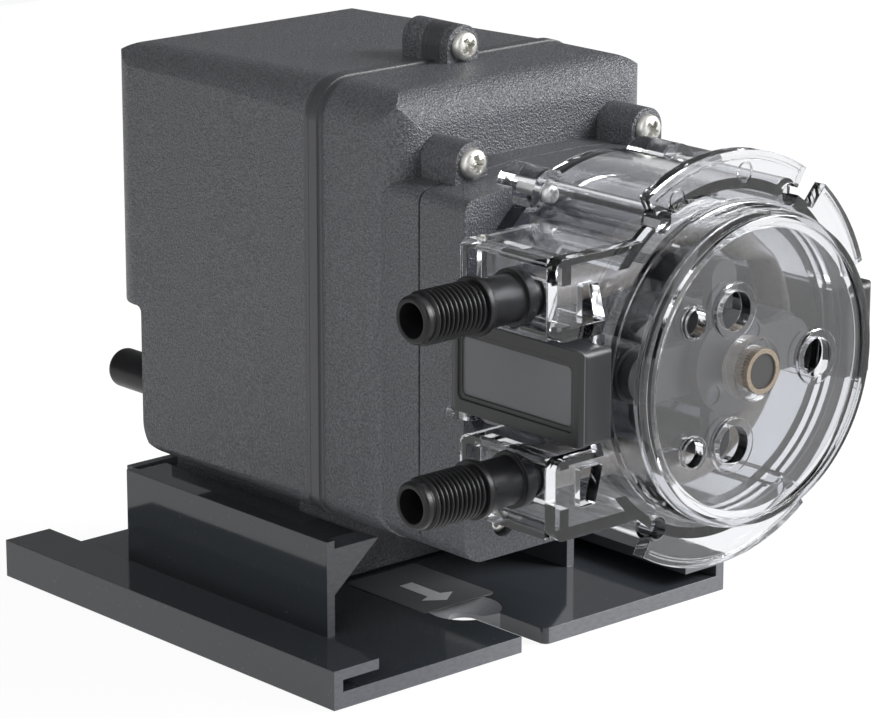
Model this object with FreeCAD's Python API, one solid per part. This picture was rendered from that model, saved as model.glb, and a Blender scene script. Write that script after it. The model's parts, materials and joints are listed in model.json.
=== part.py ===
import FreeCAD, Part
import math
import os

# Peristaltic chemical feed pump on a dovetail wall bracket.
# Millimetres, +Z up, pump head towards -Y, origin under the middle of the bracket.

V = FreeCAD.Vector

# Clearances
SLIDE_CLEARANCE = 0.4
RUNNING_CLEARANCE = 0.05
SEAT_CLEARANCE = 0.2
SOFT_CLEARANCE = 0.2
SWING_CLEARANCE = 0.3

# Mounting bracket
BRACKET_WIDTH = 152.4
BRACKET_LENGTH = 152.4
PLATE_THICKNESS = 4.8
CHANNEL_HEIGHT = 11.4
CHANNEL_WALL = 3.2
CHANNEL_LIP_WIDTH = 16.2
CHANNEL_LIP_THICKNESS = 3.1
UPRIGHT_SETBACK = 0.4
UPRIGHT_WALL = 2.8
UPRIGHT_HEIGHT = 33.4
UPRIGHT_LENGTH = 92.8
UPRIGHT_CENTRE_Y = 5.8
WEDGE_FLAT_WIDTH = 12.9
WEDGE_REACH = 19.2
WEDGE_TIP_DROP = 2.6
WEDGE_ROOT_DROP = 16.3
WEDGE_END_CHAMFER = 2.5
SLOT_WIDTH = 9.2
SLOT_REACH = 29.4
SLOT_OFFSET = -1.6
SLOT_MOUTH_RADIUS = 2.2
SLOT_COUNTERSINK_RADIUS = 11.2
SLOT_COUNTERSINK_DEPTH = 3.4
WALL_HOLE_RADIUS = 2.6
WALL_HOLE_SPACING = 50.8
WALL_HOLE_SETBACK = 11.7
WALL_HOLE_HEAD_RADIUS = 5.2
LABEL_WIDTH = 27.4
LABEL_LENGTH = 35.4
LABEL_THICKNESS = 0.2
LABEL_FRONT_SETBACK = 32.8
LABEL_CORNER = 1.5

# Case: motor housing, gear case and gear case cover
CASE_WIDTH = 97.6
CASE_BOTTOM = 40.6
CASE_HEIGHT = 125.0
CASE_WALL = 3.0
CASE_TOP_RADIUS = 11.0
CASE_BOTTOM_RADIUS = 7.0
SEAM_Y = -35.0
SEAM_RIM_DEPTH = 3.4
SEAM_RIM_PROUD = 0.5
SEAM_GROOVE_WIDTH = 0.7
SEAM_GROOVE_DEPTH = 0.6
HOUSING_LENGTH = 95.0
HOUSING_TOP_DRAFT = 3.0
HOUSING_REAR_NARROWING = 1.3
HOUSING_REAR_CORNER = 13.0
HOUSING_REAR_TOP_RADIUS = 12.0
HOUSING_REAR_BOTTOM_RADIUS = 10.0
OVERHANG_DEPTH = 15.6
OVERHANG_HEIGHT = 44.7
OVERHANG_RADIUS = 8.5
OVERHANG_CORNER = 2.0
GEAR_CASE_LENGTH = 35.0
GEAR_CASE_EDGE_RADIUS = 10.0
EXTENSION_LENGTH = 9.0
EXTENSION_BELOW_TOP = 23.6
EXTENSION_ARCH = 3.2
EXTENSION_CROWN_WIDTH = 28.0
EXTENSION_ARCH_RADIUS = 30.0
EXTENSION_INSET = 0.8
EXTENSION_CORNER = 4.0
COVER_DEPTH = 18.4
GASKET_SECTION = 1.2
BOSS_WIDTH = 11.8
BOSS_SIDE_INSET = 15.7
TOP_SCREW_HEIGHT = 4.4
TOP_BOSS_REAR = 10.2
TOP_BOSS_FRONT = 8.8
FRONT_SCREW_HEIGHT = 6.1
FRONT_BOSS_FRONT = 4.8
LOWER_SCREW_HEIGHT = 10.0
LOWER_SCREW_SEAT = 4.0
LOWER_SCREW_LENGTH = 24.0

# Screws
SCREW_HEAD_RADIUS = 4.15
SCREW_HEAD_HEIGHT = 2.6
SCREW_HEAD_ROUNDING = 1.56
SCREW_SHANK_RADIUS = 2.05
SCREW_LENGTH = 14.0
RECESS_WIDTH = 0.9
RECESS_LENGTH = 4.6
RECESS_DEPTH = 1.3

# Foot
FOOT_FRONT_SETBACK = 30.0
FOOT_NECK_CLEARANCE = 0.5
FOOT_WALL = 4.0
FOOT_STOP_THICKNESS = 3.0
FOOT_SCREW_SPACING_X = 30.0
FOOT_SCREW_INSET = 12.0
FOOT_SCREW_EDGE = 4.6
FOOT_SCREW_SEAT = 6.0
FOOT_PILLAR_WALL = 3.0
FOOT_PILLAR_HEIGHT = 12.0
FOOT_RIB_COUNT = 2
FOOT_RIB_THICKNESS = 3.0

# Cord gland
GLAND_SIDE_INSET = 18.3
GLAND_RISE = 16.4
GLAND_RADIUS = 6.0
GLAND_SHANK_RADIUS = 5.0
GLAND_LENGTH = 32.8
GLAND_BORE = 3.4
GLAND_LIP = 0.3
GLAND_FLANGE_RADIUS = 8.5
GLAND_FLANGE_THICKNESS = 2.5
GLAND_NUT_WIDTH = 12.6
GLAND_NUT_THICKNESS = 4.0
GLAND_THREAD_BEYOND = 1.0

# Head axis and drive
HEAD_BELOW_TOP = 65.4
MOTOR_PLATE_THICKNESS = 3.0
MOTOR_PLATE_SETBACK = 3.0
PLATE_BOSS_RADIUS = 4.5
PLATE_BOSS_INSET = 9.0
PLATE_RIB_THICKNESS = 2.4
MOTOR_ABOVE_HEAD = 17.8
FIRST_GEAR_SIDE_SHARE = 0.4401
PRESSURE_ANGLE = 25.0
ADDENDUM = 0.9
DEDENDUM = 1.15
BACKLASH = 0.16
FIRST_MODULE = 0.8
FIRST_TEETH = (12, 50)
SECOND_MODULE = 0.9
SECOND_TEETH = (12, 48)
THIRD_MODULE = 1.0
THIRD_TEETH = (12, 49)
GEAR_FACE = 5.0
GEAR_STEP = 7.0
GEAR_PLATE_GAP = 2.0
GEAR_STACK_GAP = 1.0
GEAR_RIM = 4.0
GEAR_WEB = 1.5
OUTPUT_GEAR_FACE = 9.0
OUTPUT_GEAR_RIM = 5.0
PINION_OVERHANG = 0.5
POST_RADIUS = 2.5
POST_HUB_WALL = 1.5
POST_HUB_MARGIN = 2.0
CLIP_THICKNESS = 0.8
CLIP_RADIUS = 4.4
OUTPUT_SHAFT_RADIUS = 4.0
OUTPUT_SHAFT_FLAT = 3.1
OUTPUT_SHAFT_ROOM = 1.5
OUTPUT_HUB_RADIUS = 8.0
OUTPUT_HUB_MARGIN = 1.0
OUTPUT_HUB_REAR = 1.0
OUTPUT_HUB_FRONT = 2.0
OUTPUT_REAR_BUSH_RADIUS = 7.0
OUTPUT_REAR_BUSH_LENGTH = 7.0
OUTPUT_REAR_BUSH_FLANGE = 2.0
OUTPUT_REAR_BUSH_FLANGE_THICKNESS = 1.5
FRONT_BEARING_RADIUS = 9.5
FRONT_BEARING_LENGTH = 7.0
SEAL_LENGTH = 4.0
BEARING_BOSS_RADIUS = 14.0
BEARING_BOSS_DEPTH = 13.4

# Motor
STATOR_SIDE = 70.0
STATOR_LENGTH = 28.0
STATOR_SETBACK = 18.0
STATOR_CORNER = 8.0
ROTOR_RADIUS = 16.0
AIR_GAP = 0.5
POLE_COUNT = 4
POLE_WIDTH = 14.0
POLE_SHOE_THICKNESS = 4.5
POLE_GAP = 4.0
YOKE_THICKNESS = 6.5
COIL_OVERHANG = 6.0
COIL_CLEARANCE = 0.3
COIL_THICKNESS = 5.0
COIL_ROOM_SHARE = 2.5
COIL_YOKE_GAP = 1.5
END_RING_WIDTH = 4.5
END_RING_INSET = 1.5
END_RING_THICKNESS = 3.0
MOTOR_SHAFT_RADIUS = 3.0
MOTOR_BEARING_RADIUS = 8.0
MOTOR_BEARING_LENGTH = 6.0
MOTOR_BEARING_SETBACK = 2.0
MOTOR_POST_RADIUS = 2.4
MOTOR_POST_INSET = 6.0
MOTOR_POST_SLEEVE = 1.6
MOTOR_NUT_RADIUS = 4.2
MOTOR_NUT_THICKNESS = 3.0
REAR_BRACKET_THICKNESS = 3.0
REAR_BRACKET_GAP = 10.0
REAR_BRACKET_ARM_WIDTH = 10.0
REAR_BRACKET_HUB_WALL = 5.0
REAR_BRACKET_EYE_WALL = 2.6
FAN_RADIUS = 31.0
FAN_WIDTH = 9.0
FAN_GAP = 5.0
FAN_HUB_RADIUS = 7.0
FAN_BLADES = 6
FAN_BLADE_THICKNESS = 1.6
FAN_BLADE_FILL = 0.85
FAN_PITCH_DEG = 38.0
MOTOR_SHAFT_TAIL = 2.0

# Pump head
HEAD_RADIUS = 49.0
HEAD_SKIRT_WALL = 3.0
HEAD_BASE_THICKNESS = 3.5
HEAD_BASE_HOLE = 13.0
HEAD_DEPTH = 45.9
TRACK_RADIUS = 38.6
TRACK_WALL = 3.4
HEAD_BOLT_RADIUS = 48.0
HEAD_BOLT_ANGLES = (60.0, 120.0, -60.0, -120.0)
HEAD_BOSS_RADIUS = 6.8
HEAD_BOSS_REAR = 6.6
HEAD_BOSS_FRONT = 7.6
HEAD_TUBE_RADIUS = 4.1
HEAD_TUBE_BORE = 3.1
HEAD_SCREW_HEAD_RADIUS = 2.8
HEAD_SCREW_HEAD_HEIGHT = 2.2
HEAD_SCREW_RADIUS = 1.6
HEAD_SCREW_LENGTH = 17.0
FLAT_HALF_SPAN = 46.0
ARM_END_X = 61.5
ARM_OFFSET = 26.6
ARM_WIDTH = 22.0
ARM_REAR_Y = -110.7
ARM_WALL = 2.6
ARM_CORNER = 3.0
ARM_ROOT_X = 30.1
FITTING_OFFSET = 24.5
FITTING_Y = -129.5
ARM_STOP_WALL = 3.2
PASSAGE_ROOM = 1.5
PASSAGE_END_X = 18.0

# Tube housing cover
COVER_PLATE_THICKNESS = 4.0
COVER_ARM_ROOT_X = 30.9
FLANGE_RADIUS = 56.7
FLANGE_SEGMENTS = ((58.0, 121.0), (19.0, 48.0), (-121.0, -55.0))
FLANGE_LINE_INSET = 2.0
FLANGE_LINE_WIDTH = 0.8
FLANGE_LINE_DEPTH = 0.6
FLANGE_LINE_END_DEG = 1.6
EJECTOR_MARKS = ((112.0, 50.4), (83.0, 50.8))
EJECTOR_MARK_RADIUS = 2.9
EJECTOR_MARK_WIDTH = 0.5
EJECTOR_MARK_DEPTH = 0.4
DOME_BASE_RADIUS = 43.9
DOME_FOOT_HEIGHT = 1.8
DOME_FOOT_STEP = 0.5
DOME_SHOULDER_RADIUS = 43.0
DOME_SHOULDER_STEP = 0.5
DOME_RIM_RADIUS = 41.7
DOME_BORE_RADIUS = 40.7
DOME_BORE_CHAMFER = 2.5
DOME_SHOULDER_DEPTH = 10.7
DOME_DEPTH = 14.2
DOME_RIM_WIDTH = 1.8
DOME_FACE_RECESS = 1.0
DOME_FACE_THICKNESS = 2.5
WINDOW_CIRCLE = 21.1
WINDOW_RADIUS = 5.35
WINDOW_RIM_RADIUS = 7.5
WINDOW_ANGLES = (0.0, 120.0, -120.0)
PEEP_CIRCLE = 30.6
PEEP_RADIUS = 3.8
PEEP_RIM_RADIUS = 4.6
PEEP_ANGLES = (145.0, -145.0)
RIM_PROUD = 0.9
BUSHING_RADIUS = 6.15
BUSHING_BORE = 4.85
BUSHING_LENGTH = 8.0
BUSHING_BOSS_RADIUS = 8.6
ARM_WINDOW_START = 52.7
ARM_WINDOW_END = 44.5
ARM_WINDOW_HALF = 5.2
ARM_WINDOW_CORNER = 0.6

# Roller assembly and pump tube
ROLLER_CIRCLE = 26.4
ROLLER_RADIUS = 8.0
ROLLER_LENGTH = 24.0
GUIDE_CIRCLE = 23.0
GUIDE_RADIUS = 5.0
ROLLER_PIN_RADIUS = 2.5
ROLLER_END_GAP = 0.4
ROLLER_ROOM = 0.8
GUIDE_ROOM = 0.6
CARRIER_PLATE = 3.5
CARRIER_HUB_RADIUS = 13.9
CARRIER_HUB_DEPTH = 4.0
CARRIER_ARM_RADIUS = 7.0
CARRIER_GUIDE_ARM_RADIUS = 4.6
CARRIER_SLEEVE_RADIUS = 9.0
CARRIER_STEM_GAP = 0.5
CARRIER_SCREW_INSET = 3.4
CARRIER_SCREW_RADIUS = 1.25
CARRIER_SCREW_HEAD_RADIUS = 2.5
CARRIER_SCREW_HEAD_HEIGHT = 1.8
CARRIER_SCREW_SEAT = 2.2
CARRIER_SCREW_TIP = 4.0
TUBE_RADIUS = 4.8
TUBE_BORE = 2.9
TUBE_FLAT_THICKNESS = 3.8
TUBE_FLAT_WIDTH = 12.6
TUBE_PINCH_DEG = 11.0
TUBE_PINCH_AHEAD_DEG = 33.0
TUBE_BLEND_DEG = 15.0
TUBE_BLEND_STEPS = ((0, 0), (0.33, 0.26), (0.66, 0.74), (1, 1))
TUBE_ENTRY_RADIUS = 20.0

# Tube fittings
THREAD_RADIUS = 7.1
THREAD_LENGTH = 17.5
THREAD_LEAD_IN = 2.8
THREAD_LEAD_RADIUS = 6.45
THREAD_RUNOUT = 0.6
FITTING_BORE = 4.55
FITTING_BORE_TAPER = 2.0
COLLAR_RADIUS = 8.0
COLLAR_WIDTH = 2.0
BARREL_RADIUS = 6.7
BARREL_LENGTH = 11.5
DISC_RADIUS = 7.8
DISC_WIDTH = 3.3
NECK_RADIUS = 5.2
NECK_FLANGE_RADIUS = 6.1
NECK_FLANGE_WIDTH = 1.5

# Latches
LATCH_HALF_SPAN = 55.2
LATCH_THICKNESS = 8.9
LATCH_LENGTH = 52.6
LATCH_REAR_GAP = 0.4
LATCH_HEIGHT = 25.7
LATCH_WALL = 2.4
LATCH_EDGE_RADIUS = 2.0
LATCH_PANEL_BORDER = 3.5
LATCH_PANEL_STEP = 1.3
LATCH_PANEL_DEPTH = 0.5
LATCH_PANEL_CORNER = 1.5
LATCH_HOOK_WIDTH = 1.5
LATCH_HOOK_CORNER = 0.5
LATCH_PIN_RADIUS = 1.5
LATCH_LUG_THICKNESS = 2.3
LATCH_LUG_REACH = 4.0
LATCH_LUG_CORNER = 3.0
LATCH_CUT_MARGIN = 0.3

# Places worked out from the sizes above
UPRIGHT_OUTER_SPAN = CASE_WIDTH - 2 * UPRIGHT_SETBACK
BOSS_SPACING = CASE_WIDTH - 2 * BOSS_SIDE_INSET
GLAND_AXIS = (GLAND_SIDE_INSET - CASE_WIDTH / 2, CASE_BOTTOM + GLAND_RISE)
CASE_TOP = CASE_BOTTOM + CASE_HEIGHT
HEAD_Z = CASE_TOP - HEAD_BELOW_TOP
GEAR_CASE_FRONT_Y = SEAM_Y - GEAR_CASE_LENGTH
COVER_SEAM_Y = GEAR_CASE_FRONT_Y - EXTENSION_LENGTH
CASE_FRONT_Y = COVER_SEAM_Y - COVER_DEPTH
HEAD_FRONT_Y = CASE_FRONT_Y - HEAD_DEPTH
COVER_FRONT_Y = HEAD_FRONT_Y - COVER_PLATE_THICKNESS
DOME_FRONT_Y = COVER_FRONT_Y - DOME_DEPTH
DOME_FACE_Y = DOME_FRONT_Y + DOME_FACE_RECESS
DOME_INNER_Y = DOME_FACE_Y + DOME_FACE_THICKNESS
HOUSING_REAR_Y = SEAM_Y + HOUSING_LENGTH
HOUSING_LOWER_REAR_Y = HOUSING_REAR_Y - OVERHANG_DEPTH
EXTENSION_TOP = CASE_TOP - EXTENSION_BELOW_TOP
FOOT_FRONT_Y = SEAM_Y + FOOT_FRONT_SETBACK
PLATE_REAR_Y = SEAM_Y - MOTOR_PLATE_SETBACK
PLATE_FRONT_Y = PLATE_REAR_Y - MOTOR_PLATE_THICKNESS
HUB_START_Y = PLATE_FRONT_Y - SWING_CLEARANCE
UPRIGHT_FRONT_Y = UPRIGHT_CENTRE_Y - UPRIGHT_LENGTH / 2
UPRIGHT_REAR_Y = UPRIGHT_CENTRE_Y + UPRIGHT_LENGTH / 2
MOTOR_Z = HEAD_Z + MOTOR_ABOVE_HEAD
LATCH_PIVOT_X = LATCH_HALF_SPAN - LATCH_THICKNESS / 2
LATCH_REAR_Y = CASE_FRONT_Y - LATCH_REAR_GAP
LATCH_PIVOT_Y = LATCH_REAR_Y - LATCH_THICKNESS / 2
DISC_FROM_TIP = THREAD_LEAD_IN + THREAD_LENGTH + COLLAR_WIDTH + BARREL_LENGTH
FITTING_LENGTH = DISC_FROM_TIP + DISC_WIDTH + ARM_STOP_WALL + SEAT_CLEARANCE * 2 + NECK_FLANGE_WIDTH
FITTING_TIP_X = -ARM_END_X - DISC_FROM_TIP


def polar(centre, radius, degrees):
    """Point on a circle in the XZ plane; the angle runs from +X towards +Z."""
    turn = math.radians(degrees)
    return (centre[0] + radius * math.cos(turn), centre[1] + radius * math.sin(turn))


def block(x0, x1, y0, y1, z0, z1):
    """Box between two opposite corners given in any order."""
    low = V(min(x0, x1), min(y0, y1), min(z0, z1))
    return Part.makeBox(abs(x1 - x0), abs(y1 - y0), abs(z1 - z0), low)


def rod(radius, y0, y1, centre=(0.0, HEAD_Z)):
    """Cylinder along Y."""
    low, high = min(y0, y1), max(y0, y1)
    return Part.makeCylinder(radius, high - low, V(centre[0], low, centre[1]), V(0, 1, 0))


def ring(outer, inner, y0, y1, centre=(0.0, HEAD_Z)):
    """Hollow cylinder along Y."""
    return rod(outer, y0, y1, centre).cut(rod(inner, y0, y1, centre))


def upright_rod(radius, x, y, z0, z1):
    """Cylinder along Z."""
    return Part.makeCylinder(radius, z1 - z0, V(x, y, z0), V(0, 0, 1))


def joined(shapes):
    """One clean solid from overlapping or touching shapes."""
    shapes = list(shapes)
    return shapes[0].fuse(shapes[1:]).removeSplitter() if len(shapes) > 1 else shapes[0]


def without(shape, cutters):
    """Shape with every cutter taken away."""
    cutters = list(cutters)
    return shape.cut(cutters) if cutters else shape


def mirrored_x(shape):
    """The same shape on the other side of the YZ plane."""
    return shape.mirror(V(0, 0, 0), V(1, 0, 0))


def mirrored_head(shape):
    """The same shape below the head axis."""
    return shape.mirror(V(0, 0, HEAD_Z), V(0, 0, 1))


def rounded_face(corners, place):
    """Face from (u, v, corner radius) triples, set in space by place(u, v)."""
    count = len(corners)
    ends = []
    for index, (u, v, radius) in enumerate(corners):
        previous = corners[index - 1]
        following = corners[(index + 1) % count]
        back = FreeCAD.Vector(previous[0] - u, previous[1] - v, 0).normalize()
        ahead = FreeCAD.Vector(following[0] - u, following[1] - v, 0).normalize()
        half = back.getAngle(ahead) / 2
        if radius <= 0:
            ends.append(((u, v), None, (u, v)))
            continue
        reach = radius / math.tan(half)
        bisector = (back + ahead).normalize()
        middle = radius / math.sin(half) - radius
        start = (u + back.x * reach, v + back.y * reach)
        crest = (u + bisector.x * middle, v + bisector.y * middle)
        finish = (u + ahead.x * reach, v + ahead.y * reach)
        ends.append((start, crest, finish))
    edges = []
    for index, (start, crest, finish) in enumerate(ends):
        if crest:
            edges.append(Part.Arc(place(*start), place(*crest), place(*finish)).toShape())
        following = ends[(index + 1) % count][0]
        if place(*finish).distanceToPoint(place(*following)) > 1e-6:
            edges.append(Part.makeLine(place(*finish), place(*following)))
    return Part.Face(Part.Wire(edges))


def front_prism(corners, y0, y1):
    """Outline in XZ, extruded along Y."""
    return rounded_face(corners, lambda u, v: V(u, y0, v)).extrude(V(0, y1 - y0, 0))


def side_prism(corners, x0, x1):
    """Outline in YZ, extruded along X."""
    return rounded_face(corners, lambda u, v: V(x0, u, v)).extrude(V(x1 - x0, 0, 0))


def plan_prism(corners, z0, z1):
    """Outline in XY, extruded along Z."""
    return rounded_face(corners, lambda u, v: V(u, v, z0)).extrude(V(0, 0, z1 - z0))


def turned(profile, centre=(0.0, HEAD_Z)):
    """Solid of revolution about Y from (radius, y) points."""
    points = [V(centre[0] + r, y, centre[1]) for r, y in profile]
    face = Part.Face(Part.makePolygon(points + [points[0]]))
    return face.revolve(V(centre[0], 0, centre[1]), V(0, -1, 0), 360)


def sector(inner, outer, start, finish, y0, y1):
    """Part of a ring about the head axis, between two angles."""
    a, b = polar((0, HEAD_Z), inner, start), polar((0, HEAD_Z), outer, start)
    corners = [V(a[0], y0, a[1]), V(b[0], y0, b[1]), V(b[0], y1, b[1]), V(a[0], y1, a[1])]
    face = Part.Face(Part.makePolygon(corners + [corners[0]]))
    return face.revolve(V(0, 0, HEAD_Z), V(0, -1, 0), finish - start)


def pan_head_screw(length=SCREW_LENGTH):
    """Cross-recessed pan-head screw; its head stands on z = 0 and points up."""
    head = Part.makeCylinder(SCREW_HEAD_RADIUS, SCREW_HEAD_HEIGHT)
    rim = [edge for edge in head.Edges if abs(edge.BoundBox.ZMin - SCREW_HEAD_HEIGHT) < 1e-6]
    head = head.makeFillet(SCREW_HEAD_ROUNDING, rim)
    shank = Part.makeCylinder(SCREW_SHANK_RADIUS, length, V(0, 0, -length))
    floor = SCREW_HEAD_HEIGHT - RECESS_DEPTH
    long, short = RECESS_LENGTH / 2, RECESS_WIDTH / 2
    arms = [block(-long, long, -short, short, floor, SCREW_HEAD_HEIGHT),
            block(-short, short, -long, long, floor, SCREW_HEAD_HEIGHT)]
    return without(joined([head, shank]), arms)


def screw_at(position, towards, length=SCREW_LENGTH):
    """Screw whose head bears on a face at position and looks along towards."""
    screw = pan_head_screw(length)
    turn = FreeCAD.Rotation(V(0, 0, 1), V(*towards))
    screw.Placement = FreeCAD.Placement(V(*position), turn)
    return screw


def screw_hole(position, towards, length=SCREW_LENGTH):
    """Hole for a screw's shank, a little wider and deeper than the shank."""
    radius = SCREW_SHANK_RADIUS + RUNNING_CLEARANCE
    depth = length + SEAT_CLEARANCE
    direction = V(*towards)
    start = V(*position) + direction * SEAT_CLEARANCE
    return Part.makeCylinder(radius, depth + SEAT_CLEARANCE, start, direction * -1)


# Bracket

def wedge_points():
    """Dovetail wedge: wall foot, wall root, tip and flat edge as (|x|, z) pairs."""
    inner = UPRIGHT_OUTER_SPAN / 2 - UPRIGHT_WALL
    tip_x = UPRIGHT_OUTER_SPAN / 2 - WEDGE_REACH
    return {
        "outer": UPRIGHT_OUTER_SPAN / 2,
        "inner": inner,
        "flat": UPRIGHT_OUTER_SPAN / 2 - WEDGE_FLAT_WIDTH,
        "tip": (tip_x, UPRIGHT_HEIGHT - WEDGE_TIP_DROP),
        "root": (inner, UPRIGHT_HEIGHT - WEDGE_ROOT_DROP),
    }


def make_bracket():
    half = BRACKET_WIDTH / 2
    lip = half - CHANNEL_LIP_WIDTH
    lip_under = CHANNEL_HEIGHT - CHANNEL_LIP_THICKNESS
    front, rear = -BRACKET_LENGTH / 2, BRACKET_LENGTH / 2
    side = [(0, 0, 0), (half, 0, 0), (half, CHANNEL_HEIGHT, 0), (lip, CHANNEL_HEIGHT, 0),
            (lip, lip_under, 0), (half - CHANNEL_WALL, lip_under, 0),
            (half - CHANNEL_WALL, PLATE_THICKNESS, 0), (0, PLATE_THICKNESS, 0)]
    wedge = wedge_points()
    upright = [(wedge["outer"], PLATE_THICKNESS / 2, 0), (wedge["outer"], UPRIGHT_HEIGHT, 0),
               (wedge["flat"], UPRIGHT_HEIGHT, 0), (*wedge["tip"], 0),
               (*wedge["root"], 0), (wedge["inner"], PLATE_THICKNESS / 2, 0)]
    rail = front_prism(upright, UPRIGHT_FRONT_Y, UPRIGHT_REAR_Y)
    lead_in = []
    for end, inward in ((UPRIGHT_FRONT_Y, 1), (UPRIGHT_REAR_Y, -1)):
        near, far = end - inward, end + inward * WEDGE_END_CHAMFER
        low = UPRIGHT_HEIGHT - WEDGE_END_CHAMFER
        corners = [(near, UPRIGHT_HEIGHT + 1, 0), (far, UPRIGHT_HEIGHT + 1, 0),
                   (far, UPRIGHT_HEIGHT, 0), (end, low, 0), (near, low, 0)]
        lead_in.append(side_prism(corners, 0, wedge["inner"]))
    half_body = joined([front_prism(side, front, rear), without(rail, lead_in)])
    slot_end = front + SLOT_REACH
    slot_left, slot_right = SLOT_OFFSET - SLOT_WIDTH / 2, SLOT_OFFSET + SLOT_WIDTH / 2
    mouth = SLOT_MOUTH_RADIUS
    cutters = [
        block(slot_left, slot_right, front - 1, slot_end, -1, PLATE_THICKNESS + 1),
        block(slot_right, slot_right + mouth, front - 1, front + mouth, -1, PLATE_THICKNESS + 1).cut(
            upright_rod(mouth, slot_right + mouth, front + mouth, -1, PLATE_THICKNESS + 1)),
        upright_rod(SLOT_WIDTH / 2, SLOT_OFFSET, slot_end, -1, PLATE_THICKNESS + 1),
        Part.makeCone(SLOT_WIDTH / 2, SLOT_COUNTERSINK_RADIUS, SLOT_COUNTERSINK_DEPTH,
                      V(SLOT_OFFSET, slot_end, PLATE_THICKNESS - SLOT_COUNTERSINK_DEPTH)),
    ]
    head_depth = WALL_HOLE_HEAD_RADIUS - WALL_HOLE_RADIUS
    for side_x in (-1, 1):
        x, y = side_x * WALL_HOLE_SPACING / 2, rear - WALL_HOLE_SETBACK
        cutters.append(upright_rod(WALL_HOLE_RADIUS, x, y, -1, PLATE_THICKNESS + 1))
        cutters.append(Part.makeCone(WALL_HOLE_RADIUS, WALL_HOLE_HEAD_RADIUS, head_depth,
                                     V(x, y, PLATE_THICKNESS - head_depth)))
    return without(joined([half_body, mirrored_x(half_body)]), cutters)


def make_label():
    front = -BRACKET_LENGTH / 2 + LABEL_FRONT_SETBACK
    half, rear = LABEL_WIDTH / 2, front + LABEL_LENGTH
    corners = [(-half, front, LABEL_CORNER), (half, front, LABEL_CORNER),
               (half, rear, LABEL_CORNER), (-half, rear, LABEL_CORNER)]
    return plan_prism(corners, PLATE_THICKNESS, PLATE_THICKNESS + LABEL_THICKNESS)


def foot_screw_places():
    """Foot screw centres on the flat underside of the motor housing."""
    rear = HOUSING_LOWER_REAR_Y - HOUSING_REAR_BOTTOM_RADIUS - FOOT_SCREW_EDGE
    return [(side * FOOT_SCREW_SPACING_X / 2, y)
            for side in (-1, 1) for y in (FOOT_FRONT_Y + FOOT_SCREW_INSET, rear)]


def foot_outline(inset):
    """Half outline of the dovetail foot; inset moves every face inwards."""
    wedge = wedge_points()
    rise = (wedge["tip"][1] - wedge["root"][1]) / (wedge["inner"] - wedge["tip"][0])
    bottom = PLATE_THICKNESS + SLIDE_CLEARANCE + LABEL_THICKNESS
    side = wedge["inner"] - SLIDE_CLEARANCE - inset
    neck = wedge["tip"][0] - FOOT_NECK_CLEARANCE - inset
    drop = SLIDE_CLEARANCE + inset * math.sqrt(1 + rise * rise)

    def slope(x):
        return wedge["root"][1] + (wedge["inner"] - x) * rise - drop

    top = CASE_BOTTOM - inset
    low = bottom - (1 if inset else 0)
    return [(side, low, 0), (side, slope(side), 0), (neck, slope(neck), 0), (neck, top, 0),
            (-neck, top, 0), (-neck, slope(neck), 0), (-side, slope(side), 0), (-side, low, 0)]


def make_foot():
    """Hollow dovetail foot with ribs, screw pillars and a stop behind the uprights."""
    front = FOOT_FRONT_Y
    stop_front = UPRIGHT_REAR_Y + SLIDE_CLEARANCE
    stop_rear = stop_front + FOOT_STOP_THICKNESS
    body = front_prism(foot_outline(0), front, stop_rear)
    wedge = wedge_points()
    stop = block(-wedge["inner"], wedge["inner"], stop_front, stop_rear, wedge["root"][1], UPRIGHT_HEIGHT)
    pocket = front_prism(foot_outline(FOOT_WALL), front + FOOT_WALL, stop_front - FOOT_WALL)
    pieces = [body.cut(pocket), stop]
    pitch = (stop_front - front) / (FOOT_RIB_COUNT + 1)
    for index in range(1, FOOT_RIB_COUNT + 1):
        middle = front + index * pitch
        rib = front_prism(foot_outline(0), middle - FOOT_RIB_THICKNESS / 2, middle + FOOT_RIB_THICKNESS / 2)
        pieces.append(rib)
    bores = []
    seat = CASE_BOTTOM - FOOT_SCREW_SEAT
    for x, y in foot_screw_places():
        pillar = SCREW_HEAD_RADIUS + FOOT_PILLAR_WALL
        pieces.append(upright_rod(pillar, x, y, CASE_BOTTOM - FOOT_PILLAR_HEIGHT, CASE_BOTTOM))
        bores.append(upright_rod(SCREW_HEAD_RADIUS + SEAT_CLEARANCE, x, y, 0, seat))
        bores.append(screw_hole((x, y, seat), (0, 0, -1)))
    return without(joined(pieces), bores)


# Case

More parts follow.
